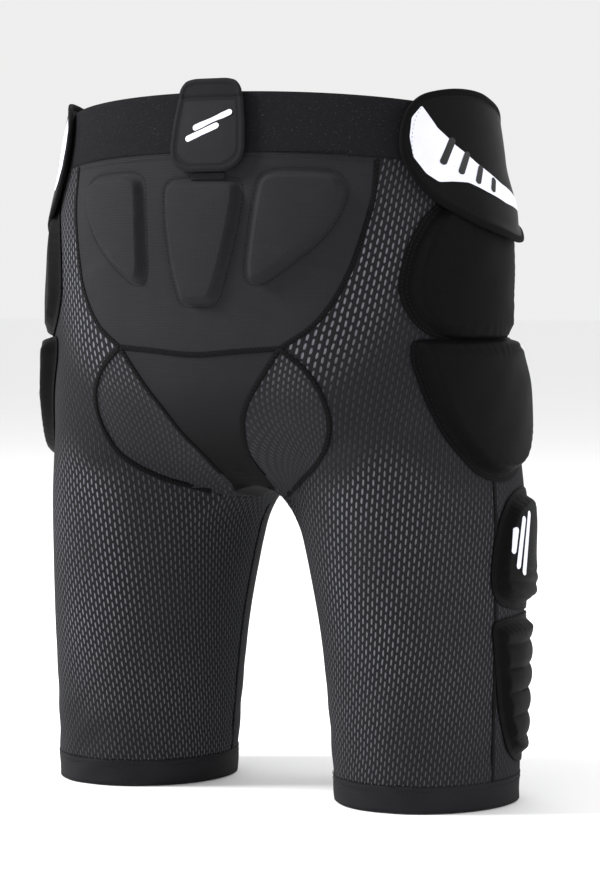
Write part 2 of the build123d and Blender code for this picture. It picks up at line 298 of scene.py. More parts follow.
# ---- the cloth wall: a grid drawn over the form, then cut along the seams ----
def form_mesh(spacing):
    """Triangles over the whole form, one point for each grid cell that the surface crosses."""
    axes = [np.arange(-0.185, 0.1851, spacing), np.arange(-0.112, 0.1401, spacing),
            np.arange(-0.009, 0.5051, spacing)]
    grid = np.stack(np.meshgrid(*axes, indexing="ij"), axis=-1)
    value = form(grid)
    inside = value < 0
    shape = np.array(inside.shape) - 1
    corners = [(i, j, k) for i in (0, 1) for j in (0, 1) for k in (0, 1)]
    nx, ny, nz = shape
    count = sum(inside[i:nx + i, j:ny + j, k:nz + k].astype(int) for i, j, k in corners)
    active = (count > 0) & (count < 8)
    number = np.full(active.shape, -1)
    number[active] = np.arange(active.sum())
    cells = np.argwhere(active)
    points = np.stack([axes[k][cells[:, k]] + spacing / 2 for k in range(3)], axis=-1)
    for _ in range(6):
        points = points - normals_at(points) * form(points)[:, None]
    quads = []
    for axis in range(3):
        u, v = [k for k in range(3) if k != axis]
        low = [slice(None)] * 3
        high = [slice(None)] * 3
        low[axis], high[axis] = slice(0, -1), slice(1, None)
        change = inside[tuple(low)] != inside[tuple(high)]
        edges = np.argwhere(change)
        edges = edges[(edges[:, u] > 0) & (edges[:, v] > 0)]
        edges = edges[(edges[:, u] < shape[u]) & (edges[:, v] < shape[v])]
        ring = []
        for du, dv in ((1, 1), (0, 1), (0, 0), (1, 0)):
            cell = edges.copy()
            cell[:, u] -= du
            cell[:, v] -= dv
            ring.append(number[tuple(cell.T)])
        ring = np.stack(ring, axis=-1)
        leaving = inside[tuple(edges.T)]
        flip = leaving if axis != 1 else ~leaving
        ring[~flip] = ring[~flip][:, ::-1]
        quads.append(ring)
    quads = np.vstack(quads)
    quads = quads[(quads >= 0).all(axis=1)]
    points = relax(points, quads)
    split = np.vstack([quads[:, [0, 1, 2]], quads[:, [0, 2, 3]]])
    return points, split


def relax(points, faces, rounds=6):
    """Spreads points evenly over the form, keeping the open edges where they are."""
    a = faces.ravel()
    b = np.roll(faces, -1, axis=1).ravel()
    pairs, uses = np.unique(np.sort(np.stack([a, b], axis=-1), axis=1), axis=0, return_counts=True)
    fixed = np.zeros(len(points), bool)
    fixed[pairs[uses == 1].ravel()] = True
    for _ in range(rounds):
        total = np.zeros_like(points)
        number = np.zeros(len(points))
        for i, j in (pairs.T, pairs.T[::-1]):
            np.add.at(total, i, points[j])
            np.add.at(number, i, 1)
        moved = points + 0.5 * (total / np.maximum(number, 1)[:, None] - points)
        points = np.where(fixed[:, None], points, moved)
        for _ in range(2):
            points = points - normals_at(points) * form(points)[:, None]
    return points


def cut(points, triangles, value, where=None):
    """Splits triangles along the line where a function of position is zero."""
    v = value(points)
    v = np.where(np.abs(v) < 2e-5, 2e-5, v)
    positive = v > 0
    signs = positive[triangles]
    mixed = signs.any(axis=1) & ~signs.all(axis=1)
    if where is not None:
        mixed &= where(points[triangles].mean(axis=1))
    t, s = triangles[mixed], signs[mixed]
    majority = s.sum(axis=1) == 1
    lone = np.where(majority, s.argmax(axis=1), (~s).argmax(axis=1))
    rows = np.arange(len(t))
    a, b, c = (t[rows, (lone + k) % 3] for k in range(3))
    edges = np.sort(np.vstack([np.stack([a, b], -1), np.stack([a, c], -1)]), axis=1)
    unique, back = np.unique(edges, axis=0, return_inverse=True)
    back = back.ravel()
    i, j = unique.T
    weight = (v[i] / (v[i] - v[j]))[:, None]
    new = points[i] * (1 - weight) + points[j] * weight
    ab, ac = np.split(back + len(points), 2)
    pieces = [np.stack(x, -1) for x in ((a, ab, ac), (ab, b, c), (ab, c, ac))]
    return np.vstack([points, new]), np.vstack([triangles[~mixed]] + pieces)


def pick(points, triangles, mask):
    """The masked triangles with only the points that they use."""
    used, index = np.unique(triangles[mask], return_inverse=True)
    return points[used], index.reshape(-1, 3)


def quarter(points, triangles):
    """Splits every triangle into four, at the middles of its sides."""
    edges = np.vstack([triangles[:, [0, 1]], triangles[:, [1, 2]], triangles[:, [2, 0]]])
    unique, back = np.unique(np.sort(edges, axis=1), axis=0, return_inverse=True)
    ab, bc, ca = np.split(back.ravel() + len(points), 3)
    a, b, c = triangles.T
    points = np.vstack([points, points[unique].mean(axis=1)])
    fours = ((a, ab, ca), (ab, b, bc), (ca, bc, c), (ab, bc, ca))
    triangles = np.vstack([np.stack(f, -1) for f in fours])
    return points, triangles


# ---- panel borders, drawn as in the CAD source ----
SEAT_EDGE = [(0.1165, 0.520), (0.118, 0.470), (0.118, 0.433), (0.117, 0.405), (0.109, 0.370),
             (0.099, 0.345), (0.084, 0.325), (0.063, 0.3105)]
SEAT_BOTTOM = [(0.063, 0.3105), (0.034, 0.3085), (0, 0.306), (-0.034, 0.3085), (-0.063, 0.3105)]
GUSSET_EDGE = [(0.063, 0.3105), (0.047, 0.289), (0.033, 0.270), (0.024, 0.251), (0.018, 0.233),
               (0.016, 0.190)]
INNER_GUSSET_EDGE = [(0.063, 0.3105), (0.079, 0.297), (0.0895, 0.279), (0.0905, 0.258), (0.080, 0.237),
                     (0.058, 0.221), (0.036, 0.211), (0.016, 0.204)]
FRONT_EDGE = [(0.088, 0.520), (0.086, 0.430), (0.074, 0.370), (0.054, 0.310), (0.034, 0.260),
              (0.016, 0.222), (0.016, 0.190)]
FRONT_SEAM_OUTER = (0.176, 0.020)
FRONT_SEAM_INNER = (0.048, -0.016)

seat_side = curve_through(SEAT_EDGE, 60, closed=False)
seat_bottom = curve_through(SEAT_BOTTOM, 40, closed=False)
gusset_side = curve_through(GUSSET_EDGE, 50, closed=False)
inner_side = curve_through(INNER_GUSSET_EDGE, 60, closed=False)
front_side = curve_through(FRONT_EDGE, 50, closed=False)


def flip(path):
    return path[::-1] * (-1, 1)


SEAT_ZONE = np.vstack([seat_side, seat_bottom[1:-1], flip(seat_side)])
GUSSET_ZONE = np.vstack([seat_bottom[::-1][:-1], gusset_side[:-1], flip(gusset_side)[:-1]])
INNER_ZONE = np.vstack([inner_side, gusset_side[::-1][:-1]])
FRONT_ZONE = np.vstack([front_side, flip(front_side)])


def behind(p):
    return p[:, 1] > 0


def before(p):
    return p[:, 1] < 0


def across_back(zone):
    return lambda p: inside_by(zone, p[:, [0, 2]])


def across_sides(zone):
    return lambda p: inside_by(zone, np.stack([np.abs(p[:, 0]), p[:, 2]], axis=-1))


def front_seam(p):
    """Positive behind the seam between the rear and front leg panels."""
    slope = (FRONT_SEAM_OUTER[1] - FRONT_SEAM_INNER[1]) / (FRONT_SEAM_OUTER[0] - FRONT_SEAM_INNER[0])
    return p[:, 1] - FRONT_SEAM_INNER[1] - slope * (np.abs(p[:, 0]) - FRONT_SEAM_INNER[0])


def above_band(p):
    return p[:, 2] - waist_line(p[:, 1], BAND_HEIGHT)


GRAIN_TILT = 0.17  # the leg cloth's wales lean outwards going up


def leg_chart(p, side, unwrap):
    """Cloth coordinates on a leg: width from the angle round it, and height."""
    centre, _, _, leg_y = along(LEG_FORM, np.minimum(p[:, 2], 0.26))
    angle = np.arctan2(p[:, 1] - leg_y, side * p[:, 0] - centre)
    angle = np.where(unwrap * angle < -pi / 2, angle + unwrap * 2 * pi, angle)
    return np.stack([angle * 0.076 + GRAIN_TILT * p[:, 2], p[:, 2]], axis=-1)


def body_chart(p):
    angle = np.arctan2(p[:, 1] - 0.01, p[:, 0])
    angle = np.where(angle < -pi / 2, angle + 2 * pi, angle)
    return np.stack([angle * 0.135, p[:, 2]], axis=-1)


def front_chart(p):
    return np.stack([p[:, 0], p[:, 2]], axis=-1)


def folds(p):
    """Small creases where the cloth turns in below the seat and at the crotch, along p's normal."""
    x, y, z = np.abs(p[:, 0]), p[:, 1], p[:, 2]
    back = step(y, 0.0, 0.04)
    crease = 0.0
    for cx, cz, turn, length, width, depth in FOLDS:
        across = (z - cz) * cos(turn) - (x - cx) * sin(turn)
        run = (x - cx) * cos(turn) + (z - cz) * sin(turn)
        crease = crease + depth * np.exp(-(across / width) ** 2 - (run / length) ** 2)
    ripple = 0.00035 * np.sin(z * 210 + 4 * np.sin(x * 50)) * step(z, 0.12, 0.02)
    return back * crease + ripple


# Creases: centre in (|X|, Z), turn, half length, half width, height
FOLDS = [
    (0.036, 0.213, -0.10, 0.018, 0.0022, 0.0016),
    (0.032, 0.205, -0.35, 0.016, 0.0020, -0.0014),
    (0.048, 0.222, 0.30, 0.020, 0.0030, 0.0012),
    (0.100, 0.236, 0.05, 0.030, 0.0060, 0.0012),
    (0.110, 0.222, -0.05, 0.026, 0.0060, -0.0010),
]


def area_of(points, triangles):
    a, b, c = (points[triangles[:, k]] for k in range(3))
    return np.linalg.norm(np.cross(b - a, c - a), axis=1).sum() / 2


def panel(name, points, triangles, chart, stands_for, slot_name, hole_light_value=None, material=None):
    """One cut panel of cloth, pushed into its folds and given thickness."""
    shaped = points + normals_at(points) * folds(points)[:, None]
    obj = make_object(name, shaped, triangles, chart(points))
    # The 'open' attribute holds painted light and shade for the mesh holes
    if hole_light_value is not None:
        paint(obj, "open", hole_light_value(points))
    thicken(obj, CLOTH)
    dress(obj, "shorts", slot_name, material)
    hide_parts(stands_for)
    area = area_of(points, triangles)
    width, height = np.ptp(chart(points), axis=0)
    width = max(width, area / height * 1.02)
    return obj


def dress(obj, body, slot_name, material=None):
    """Puts a piece on a body, and gives it a material, by default the one of the slot's name."""
    obj.data.materials.clear()
    obj.data.materials.append(material or MATERIALS[slot_name])
    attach(obj, body)
    return obj


# ---- seams: a raised tape with crossing threads along a path ----
def frames_along(points, normals):
    """Unit vectors along a path and across it, in the surface."""
    ahead = np.gradient(points, axis=0)
    ahead /= np.linalg.norm(ahead, axis=1, keepdims=True) + 1e-12
    across = np.cross(normals, ahead)
    across /= np.linalg.norm(across, axis=1, keepdims=True) + 1e-12
    return ahead, across


def sweep(name, points, normals, section, closed=False):
    """A band whose cross-section, a list of (across, up), follows a path. Its UV is (length, across)."""
    if closed:
        points, normals = np.vstack([points, points[:1]]), np.vstack([normals, normals[:1]])
    _, across = frames_along(points, normals)
    if closed:
        across[0] = across[-1] = across[0] + across[-1]
        across[0] /= np.linalg.norm(across[0])
        across[-1] = across[0]
    section = np.array(section)
    rows = [points + across * u + normals * h for u, h in section]
    grid = np.stack(rows, axis=1).reshape(-1, 3)
    n, m = len(points), len(section)
    length = np.concatenate([[0], np.cumsum(np.linalg.norm(np.diff(points, axis=0), axis=1))])
    faces = grid_faces(n, m)
    if not closed:
        faces.append(tuple(range(m))[::-1])
        faces.append(tuple((n - 1) * m + j for j in range(m)))
    uv = np.stack([np.repeat(length, m), np.tile(section[:, 0], n)], axis=-1)
    return make_object(name, grid, faces, uv)


def thread_points(points, normals, pitch, swing, lift):
    """A thread that crosses from side to side of a path and dips at each edge."""
    length = np.linalg.norm(np.diff(points, axis=0), axis=1).sum()
    count = max(int(length / pitch) * 4, 8)
    p = resample(points, count, closed=False)
    n = resample(normals, count, closed=False)
    _, across = frames_along(p, n)
    phase = np.arange(count)
    side = np.array([-1, -0.35, 1, 0.35])[phase % 4]
    height = np.array([0.0, 1.0, 0.0, 1.0])[phase % 4]
    return p + across * (side * swing)[:, None] + n * (lift * (0.45 + 0.55 * height))[:, None], n


def thread(name, points, normals, radius, body, sides=5):
    angles = np.linspace(0, 2 * pi, sides, endpoint=False)
    section = [(radius * cos(a), radius * sin(a)) for a in angles]
    obj = sweep(name, points, normals, section)
    return dress(obj, body, "thread")


def tape_section(width, height):
    """A low crowned strip, closed below."""
    half = width / 2
    return [(-half, 0), (-half * 0.8, height * 0.75), (-half * 0.3, height), (half * 0.3, height),
            (half * 0.8, height * 0.75), (half, 0), (0, -0.0004)]


def flatlock(name, points, width=0.0038, height=0.00062, lift=0.0):
    """A flatlock seam: a crowned tape, and one thread that zigzags over it."""
    normals = normals_at(points)
    points = points + normals * lift
    tape = sweep(f"{name}_tape", points, normals, tape_section(width, height))
    dress(tape, "shorts", "thread", MATERIALS["seam_tape"])
    p, n = thread_points(points, normals, 0.0030, width * 0.42, height + 0.00018)
    thread(f"{name}_threads", p, n, 0.00017, "shorts")


def stitches(name, points, normals, pitch, length, radius, body, material=None):
    """A row of separate short stitches, each a small closed grain lying along a path."""
    total = np.linalg.norm(np.diff(points, axis=0), axis=1).sum()
    count = max(int(total / pitch), 2)
    p = resample(points, count, closed=False)
    n = resample(normals, count, closed=False)
    ahead, across = frames_along(p, n)
    rings = [(-0.5, 0.35), (-0.2, 1.0), (0.2, 1.0), (0.5, 0.35)]
    grid, faces = [], []
    for along_part, thick in rings:
        for a in (0, pi / 2, pi, 3 * pi / 2):
            grid.append(p + ahead * length * along_part + across * radius * thick * cos(a)
                        + n * radius * (thick * sin(a) + 0.5))
    grid = np.stack(grid, axis=1).reshape(-1, 3)
    for i in range(count):
        base = i * 16
        for r in range(3):
            for k in range(4):
                q = (k + 1) % 4
                faces.append((base + r * 4 + k, base + r * 4 + q, base + r * 4 + 4 + q, base + r * 4 + 4 + k))
        faces.append((base + 3, base + 2, base + 1, base))
        faces.append((base + 12, base + 13, base + 14, base + 15))
    obj = make_object(name, grid, faces, np.zeros((len(grid), 2)))
    return dress(obj, body, "thread", material)


def stitch_along(name, path, place, height, pitch, length, radius, body, material=None):
    """A row of stitches along a path drawn in a view's own plane, at a height over the form."""
    points = place(path[:, 0], path[:, 1])
    normals = normals_at(points)
    raised = points + normals * np.broadcast_to(height, len(path))[:, None]
    return stitches(name, raised, normals, pitch, length, radius, body, material)


# ---- pads and flat pieces: nested rings inside an outline, lifted off the form ----
def ringed(name, outline, place, lift, rings=34, inner_share=0.02, centre=None):
    """A surface filling an outline. lift(q, depth) gives its height over the form, depth from the outline."""
    centre = outline.mean(axis=0) if centre is None else np.array(centre)
    shares = 1 - np.linspace(0, 1, rings) ** 1.25 * (1 - inner_share)  # closer together near the edge
    flat = np.vstack([centre + (outline - centre) * s for s in shares] + [centre[None]])
    depth = np.maximum(inside_by(outline, flat), 0)
    depth[:len(outline)] = 0
    base = place(flat[:, 0], flat[:, 1])
    normals = normals_at(base)
    points = base + normals * lift(flat, depth)[:, None]
    n = len(outline)
    faces = grid_faces(rings, n)
    last = (rings - 1) * n
    faces += [(last + k, last + (k + 1) % n, len(flat) - 1) for k in range(n)]
    a, b, c = (points[faces[0][i]] for i in range(3))
    if np.dot(np.cross(b - a, c - b), normals[0]) < 0:
        faces = [f[::-1] for f in faces]
    obj = make_object(name, points, faces, flat)
    paint(obj, "depth", depth)
    return obj


def pad_profile(border, height, rise, crown, spread, middle):
    """Height over the form: a flat sewn border, a rounded shoulder, then a gentle crown. The border and the
    shoulder are narrow at the pocket mouth, where the hip and thigh pads meet."""
    def lift(q, depth):
        at_mouth = np.exp(-((q[:, 1] - POCKET_MOUTH) / 0.0060) ** 2)
        edge = border * (1 - 0.85 * at_mouth)
        run = rise * (1 - 0.62 * at_mouth)
        shoulder = step((depth - edge) / run, 0, 1)
        swell = 1 - np.exp(-np.maximum(depth - edge, 0) / spread)
        turn = np.arctan2(q[:, 1] - middle[1], q[:, 0] - middle[0])
        gather = np.sin(turn * 43 + 2 * np.sin(turn * 7)) * np.exp(-((depth - edge - 0.0035) / 0.0035) ** 2)
        sag = 0.5 * np.sin(q[:, 1] * 150 + q[:, 0] * 60) * np.sin(q[:, 0] * 110 - q[:, 1] * 40)
        return 0.0013 + (height - 0.0013) * shoulder + crown * swell + 0.00022 * gather + 0.0006 * sag * swell
    return lift


def patch_folds(base):
    """The lower end of the thigh patch bunches into flat rolls."""
    def lift(q, depth):
        share = step(depth, COVER_SEAM, COVER_SEAM + 0.006) * step(q[:, 1], 0.166, 0.150)
        lean = q[:, 1] - 0.12 * q[:, 0]
        return base(q, depth) + share * 0.0016 * (np.abs(np.sin((lean - 0.134) * pi / 0.0090)) ** 0.7 - 0.5)
    return lift


def rim(name, outline, place, lift, width, thickness, body):
    """A folded binding round an outline: an oval section that wraps the edge."""
    centre = outline.mean(axis=0)
    path = resample(outline, len(outline))
    base = place(path[:, 0], path[:, 1])
    normals = normals_at(base)
    height = lift(path, np.zeros(len(path)))
    points = base + normals * height[:, None]
    _, across = frames_along(np.vstack([points, points[:1]]), np.vstack([normals, normals[:1]]))
    middle = place(centre[0], centre[1])
    inward = 1 if np.dot(across[0], middle - points[0]) > 0 else -1
    section = []
    for a in np.linspace(0, 2 * pi, 14, endpoint=False):
        u = np.sign(cos(a)) * abs(cos(a)) ** 0.6 * width / 2
        h = np.sign(sin(a)) * abs(sin(a)) ** 0.6 * thickness / 2
        section.append((inward * (u + width / 2 - 0.0006), h))
    obj = sweep(name, points, normals, section, closed=True)
    return dress(obj, body, "binding")


# ---- materials ----
class Graph:
    """A short way to write a material's nodes."""

    def __init__(self, name):
        self.material = bpy.data.materials.new(name)
        self.material.use_nodes = True
        self.tree = self.material.node_tree
        self.surface = self.tree.nodes["Principled BSDF"]

    def node(self, kind, inputs=(), **settings):
        made = self.tree.nodes.new(kind)
        for key, value in settings.items():
            setattr(made, key, value)
        for key, value in dict(inputs).items():
            self.feed(made.inputs[key], value)
        return made

    def feed(self, socket, value):
        if isinstance(value, bpy.types.NodeSocket):
            self.tree.links.new(value, socket)
        elif isinstance(value, bpy.types.Node):
            self.tree.links.new(value.outputs[0], socket)
        else:
            socket.default_value = value

    def math(self, operation, a, b=0.0, c=0.0):
        return self.node("ShaderNodeMath", {0: a, 1: b, 2: c}, operation=operation).outputs[0]

    def smooth(self, value, low, high):
        settings = {"Value": value, "From Min": low, "From Max": high}
        return self.node("ShaderNodeMapRange", settings, interpolation_type="SMOOTHSTEP").outputs[0]

    def mix(self, share, a, b):
        made = self.node("ShaderNodeMix", data_type="RGBA")
        self.feed(made.inputs["Factor"], share)
        self.feed(made.inputs[6], a)
        self.feed(made.inputs[7], b)
        return made.outputs[2]

    def attribute(self, name):
        return self.node("ShaderNodeAttribute", attribute_name=name).outputs["Fac"]

    def cloth(self):
        """The piece's own cloth coordinates, as two values in metres."""
        uv = self.node("ShaderNodeUVMap", uv_map="cloth").outputs[0]
        parts = self.node("ShaderNodeSeparateXYZ", {0: uv})
        return parts.outputs[0], parts.outputs[1]

    def place(self):
        return self.node("ShaderNodeTexCoord").outputs["Object"]

    def noise(self, scale, detail=3.0, roughness=0.5, vector=None):
        inputs = {"Vector": vector or self.place(), "Scale": scale, "Detail": detail, "Roughness": roughness}
        return self.node("ShaderNodeTexNoise", inputs).outputs[0]

    def bump(self, height, distance, strength=1.0, normal=None):
        inputs = {"Height": height, "Distance": distance, "Strength": strength}
        if normal is not None:
            inputs["Normal"] = normal
        return self.node("ShaderNodeBump", inputs).outputs[0]

    def finish(self, **sockets):
        for key, value in sockets.items():
            self.feed(self.surface.inputs[key.replace("_", " ")], value)
        return self.material


def grey(value, tint=0.13):
    return (value, value, value * (1 + tint), 1)


def fibre(graph, amount=0.25):
    """Fine unevenness that every cloth has, about 1."""
    fine = graph.noise(2600, 2)
    broad = graph.noise(45, 4)
    both = graph.math("ADD", graph.math("MULTIPLY", fine, 0.6), graph.math("MULTIPLY", broad, 0.4))
    return graph.math("ADD", graph.math("MULTIPLY", both, 2 * amount), 1 - amount)


def shade(graph, colour, factor):
    """A colour made lighter or darker by a factor."""
    scaled = graph.node("ShaderNodeVectorMath", {0: colour[:3] if isinstance(colour, tuple) else colour,
                                                 "Scale": factor}, operation="SCALE")
    return scaled.outputs[0]


def dash_mesh(name, dark, light, floor=0.04, pitch_u=0.0061, pitch_v=0.0060, half_width=0.00057,
              half_height=0.0021):
    """Knit with staggered upright holes. How light the holes are follows the painted light and shade in the
    piece's 'open' attribute.
    """
    g = Graph(name)
    u, v = g.cloth()
    wobble = g.math("MULTIPLY", g.math("SUBTRACT", g.noise(130, 2), 0.5), 0.14)
    column = g.math("ADD", g.math("DIVIDE", u, pitch_u), wobble)
    row = g.math("DIVIDE", v, pitch_v)

    def lattice(shift):
        du = g.math("SUBTRACT", g.math("FRACT", g.math("ADD", column, 1000 + shift)), 0.5)
        dv = g.math("SUBTRACT", g.math("FRACT", g.math("ADD", row, 1000 + shift)), 0.5)
        across = g.math("POWER", g.math("DIVIDE", g.math("ABSOLUTE", du), half_width / pitch_u), 2.5)
        up = g.math("POWER", g.math("DIVIDE", g.math("ABSOLUTE", dv), half_height / pitch_v), 2.5)
        return g.smooth(g.math("ADD", across, up), 1.5, 0.5)

    hole = g.math("MAXIMUM", lattice(0.0), lattice(0.5))
    # Painted light and shade: the 'open' attribute lights the holes where it is high, and makes the ground
    # between them a little darker there
    hole_light = g.attribute("open")
    uneven = g.math("ADD", 0.7, g.math("MULTIPLY", g.noise(240, 1), 0.6))
    light_share = g.math("MULTIPLY", hole, g.math("ADD", g.math("MULTIPLY", hole_light, 1 - floor), floor))
    light_share = g.math("MULTIPLY", light_share, uneven)
    ridge = g.math("SINE", g.math("MULTIPLY", column, 8 * pi))
    loops = g.math("SINE", g.math("MULTIPLY", v, 2 * pi / 0.0012))
    yarn = g.math("MULTIPLY", g.math("ADD", ridge, loops), 0.25)
    ground = g.math("MULTIPLY", fibre(g, 0.30), g.math("ADD", 1.0, g.math("MULTIPLY", yarn, 0.5)))
    ground = g.math("MULTIPLY", ground, g.math("ADD", 1.35, g.math("MULTIPLY", hole_light, -0.25)))
    colour = g.mix(light_share, shade(g, dark, ground), light)
    relief = g.math("SUBTRACT", g.math("MULTIPLY", yarn, 0.35), g.math("MULTIPLY", hole, 1.0))
    normal = g.bump(relief, 0.0004)
    return g.finish(Base_Color=colour, Roughness=0.9, Normal=normal, Sheen_Weight=0.01, Sheen_Roughness=0.5,
                    Specular_IOR_Level=0.06)


def fine_knit(name, colour, rib=0.0009, course=0.0011, sheen=0.01, rough=0.8, lines=0.30, specular=0.10,
              shade_heights=None):
    """Close smooth knit: fine upright ribs crossed by courses. With shade_heights given, painted shade
    darkens it towards the bottom.
    """
    g = Graph(name)
    u, v = g.cloth()
    ribs = g.math("SINE", g.math("MULTIPLY", u, 2 * pi / rib))
    courses = g.math("SINE", g.math("MULTIPLY", v, 2 * pi / course))
    weave = g.math("MULTIPLY", g.math("ADD", ribs, courses), 0.25)
    bars = g.node("ShaderNodeCombineXYZ", {0: g.math("MULTIPLY", u, 30), 1: g.math("MULTIPLY", v, 1500)})
    streaks = g.math("SUBTRACT", g.noise(1.0, 2, vector=bars.outputs[0]), 0.5)
    factor = g.math("ADD", fibre(g, 0.22), g.math("MULTIPLY", streaks, lines))
    factor = g.math("MULTIPLY", factor, g.math("ADD", 1.0, g.math("MULTIPLY", weave, 0.3)))
    # Painted shade: below the upper of the shade heights the colour darkens, down to 0.15 of itself at the
    # lower one
    if shade_heights:
        height = g.node("ShaderNodeSeparateXYZ", {0: g.place()}).outputs[2]
        lit = g.math("MULTIPLY", g.smooth(height, *shade_heights), 0.85)
        factor = g.math("MULTIPLY", factor, g.math("ADD", 0.15, lit))
    normal = g.bump(weave, 0.00018)
    normal = g.bump(g.noise(38, 3), 0.0012, 0.35, normal)
    return g.finish(Base_Color=shade(g, colour, factor), Roughness=rough, Normal=normal, Sheen_Weight=sheen,
                    Sheen_Roughness=0.45, Specular_IOR_Level=specular)


def elastic(name, colour, light):
    """Woven elastic: fine upright cords crossed by short picks, with light specks."""
    g = Graph(name)
    u, v = g.cloth()
    cords = g.math("SINE", g.math("MULTIPLY", u, 2 * pi / 0.0016))
    picks = g.math("SINE", g.math("MULTIPLY", v, 2 * pi / 0.0010))
    weave = g.math("MULTIPLY", cords, picks)
    specks = g.smooth(g.noise(900, 1), 0.66, 0.76)
    factor = g.math("ADD", fibre(g, 0.2), g.math("MULTIPLY", weave, 0.22))
    colour_out = g.mix(g.math("MULTIPLY", specks, 0.4), shade(g, colour, factor), light)
    normal = g.bump(weave, 0.00028)
    return g.finish(Base_Color=colour_out, Roughness=0.92, Normal=normal, Sheen_Weight=0.01,
                    Sheen_Roughness=0.5, Specular_IOR_Level=0.05)


def smooth_shell(name, colour, rough=0.52, sheen=0.01, specular=0.1, grain=0.00008):
    """Tightly knitted face cloth bonded to foam: nearly smooth, with a soft glow at grazing angles."""
    g = Graph(name)
    u, v = g.cloth()
    weave = g.math("MULTIPLY", g.math("SINE", g.math("MULTIPLY", u, 2 * pi / 0.0008)),
                   g.math("SINE", g.math("MULTIPLY", v, 2 * pi / 0.0008)))
    normal = g.bump(weave, grain)
    normal = g.bump(g.noise(26, 3), 0.0016, 0.4, normal)
    lint = g.smooth(g.noise(1400, 1), 0.72, 0.80)
    base = g.mix(g.math("MULTIPLY", lint, 0.25), shade(g, colour, fibre(g, 0.2)), grey(0.12))
    roughness = g.math("ADD", rough, g.math("MULTIPLY", g.math("SUBTRACT", g.noise(60, 3), 0.5), 0.12))
    return g.finish(Base_Color=base, Roughness=roughness, Normal=normal, Sheen_Weight=sheen,
                    Sheen_Roughness=0.35, Specular_IOR_Level=specular)


def woven_tape(name, colour, pitch=0.0007):
    g = Graph(name)
    u, v = g.cloth()
    weave = g.math("MULTIPLY", g.math("SINE", g.math("MULTIPLY", u, 2 * pi / pitch)),
                   g.math("SINE", g.math("MULTIPLY", v, 2 * pi / pitch)))
    factor = g.math("ADD", fibre(g, 0.25), g.math("MULTIPLY", weave, 0.2))
    return g.finish(Base_Color=shade(g, colour, factor), Roughness=0.8, Normal=g.bump(weave, 0.00015),
                    Sheen_Weight=0.01, Specular_IOR_Level=0.06)


def foam(name, colour):
    g = Graph(name)
    cells = g.node("ShaderNodeTexVoronoi", {"Vector": g.place(), "Scale": 900}).outputs[0]
    normal = g.bump(cells, 0.0003)
    factor = g.math("ADD", 0.8, g.math("MULTIPLY", cells, 0.5))
    return g.finish(Base_Color=shade(g, colour, factor), Roughness=0.95, Normal=normal)


def rubber_print(name, colour, rough=0.45):
    """Printed or moulded rubber: even, with a faint orange-peel surface."""
    g = Graph(name)
    peel = g.noise(1800, 2)
    factor = g.math("ADD", 0.94, g.math("MULTIPLY", g.noise(120, 3), 0.12))
    return g.finish(Base_Color=shade(g, colour, factor), Roughness=rough, Normal=g.bump(peel, 0.00006),
                    Specular_IOR_Level=0.35)


def hooks(name, colour, scale=1500):
    """Hook or loop tape: a dense field of tiny bristles."""
    g = Graph(name)
    dots = g.node("ShaderNodeTexVoronoi", {"Vector": g.place(), "Scale": scale}).outputs[0]
    factor = g.math("ADD", 1.25, g.math("MULTIPLY", dots, -0.9))
    return g.finish(Base_Color=shade(g, colour, factor), Roughness=0.9, Normal=g.bump(dots, 0.0006, 1.0),
                    Sheen_Weight=0.02, Specular_IOR_Level=0.1)


def thread_material(name, colour):
    g = Graph(name)
    u, _ = g.cloth()
    twist = g.math("SINE", g.math("MULTIPLY", u, 2 * pi / 0.0009))
    factor = g.math("ADD", 0.9, g.math("MULTIPLY", twist, 0.25))
    return g.finish(Base_Color=shade(g, colour, factor), Roughness=0.6, Specular_IOR_Level=0.1,
                    Sheen_Weight=0.01)


MATERIALS = {
    "leg_mesh": dash_mesh("leg_mesh", grey(0.0118), grey(0.160)),
    "gusset_mesh": dash_mesh("gusset_mesh", grey(0.0150), grey(0.13), 0.10, 0.0044, 0.0048, 0.00042, 0.0015),
    "front_mesh": dash_mesh("front_mesh", grey(0.012), grey(0.15)),
    "seat_knit": fine_knit("seat_knit", grey(0.0165)),
    # The gusset knit carries painted shade towards the crotch
    "gusset_knit": fine_knit("gusset_knit", grey(0.0145), shade_heights=(0.222, 0.300)),
    "front_knit": fine_knit("front_knit", grey(0.012)),
    "hem_knit": fine_knit("hem_knit", grey(0.0125), rib=0.0012),
    "lining": fine_knit("lining", grey(0.05)),
    "waist_elastic": elastic("waist_elastic", grey(0.0115), grey(0.09)),
    "pad_cover": smooth_shell("pad_cover", grey(0.0024), rough=0.58, specular=0.05),
    "strap_cloth": smooth_shell("strap_cloth", grey(0.0018), rough=0.42, specular=0.07),
    "tab_cloth": smooth_shell("tab_cloth", grey(0.0095), rough=0.7, specular=0.08),
    "tab_panel": smooth_shell("tab_panel", grey(0.0135), rough=0.62, specular=0.08),
    "binding": woven_tape("binding", grey(0.0035)),
    "seam_tape": woven_tape("seam_tape", grey(0.0045)),
    "thread": thread_material("thread", grey(0.012)),
    "dark_thread": thread_material("dark_thread", grey(0.0035)),
    "white_print": rubber_print("white_print", grey(0.78), rough=0.6),
    # Black print, also used for the painted shadow in the tab's slot
    "black_print_and_shadow": rubber_print("black_print_and_shadow", grey(0.004), rough=0.55),
    "foam": foam("foam", grey(0.16)),
    "loop_tape": hooks("loop_tape", grey(0.012), 1900),
    "hook_tape": hooks("hook_tape", grey(0.009), 1100),
    "silicone": rubber_print("silicone", grey(0.05), rough=0.35),
}


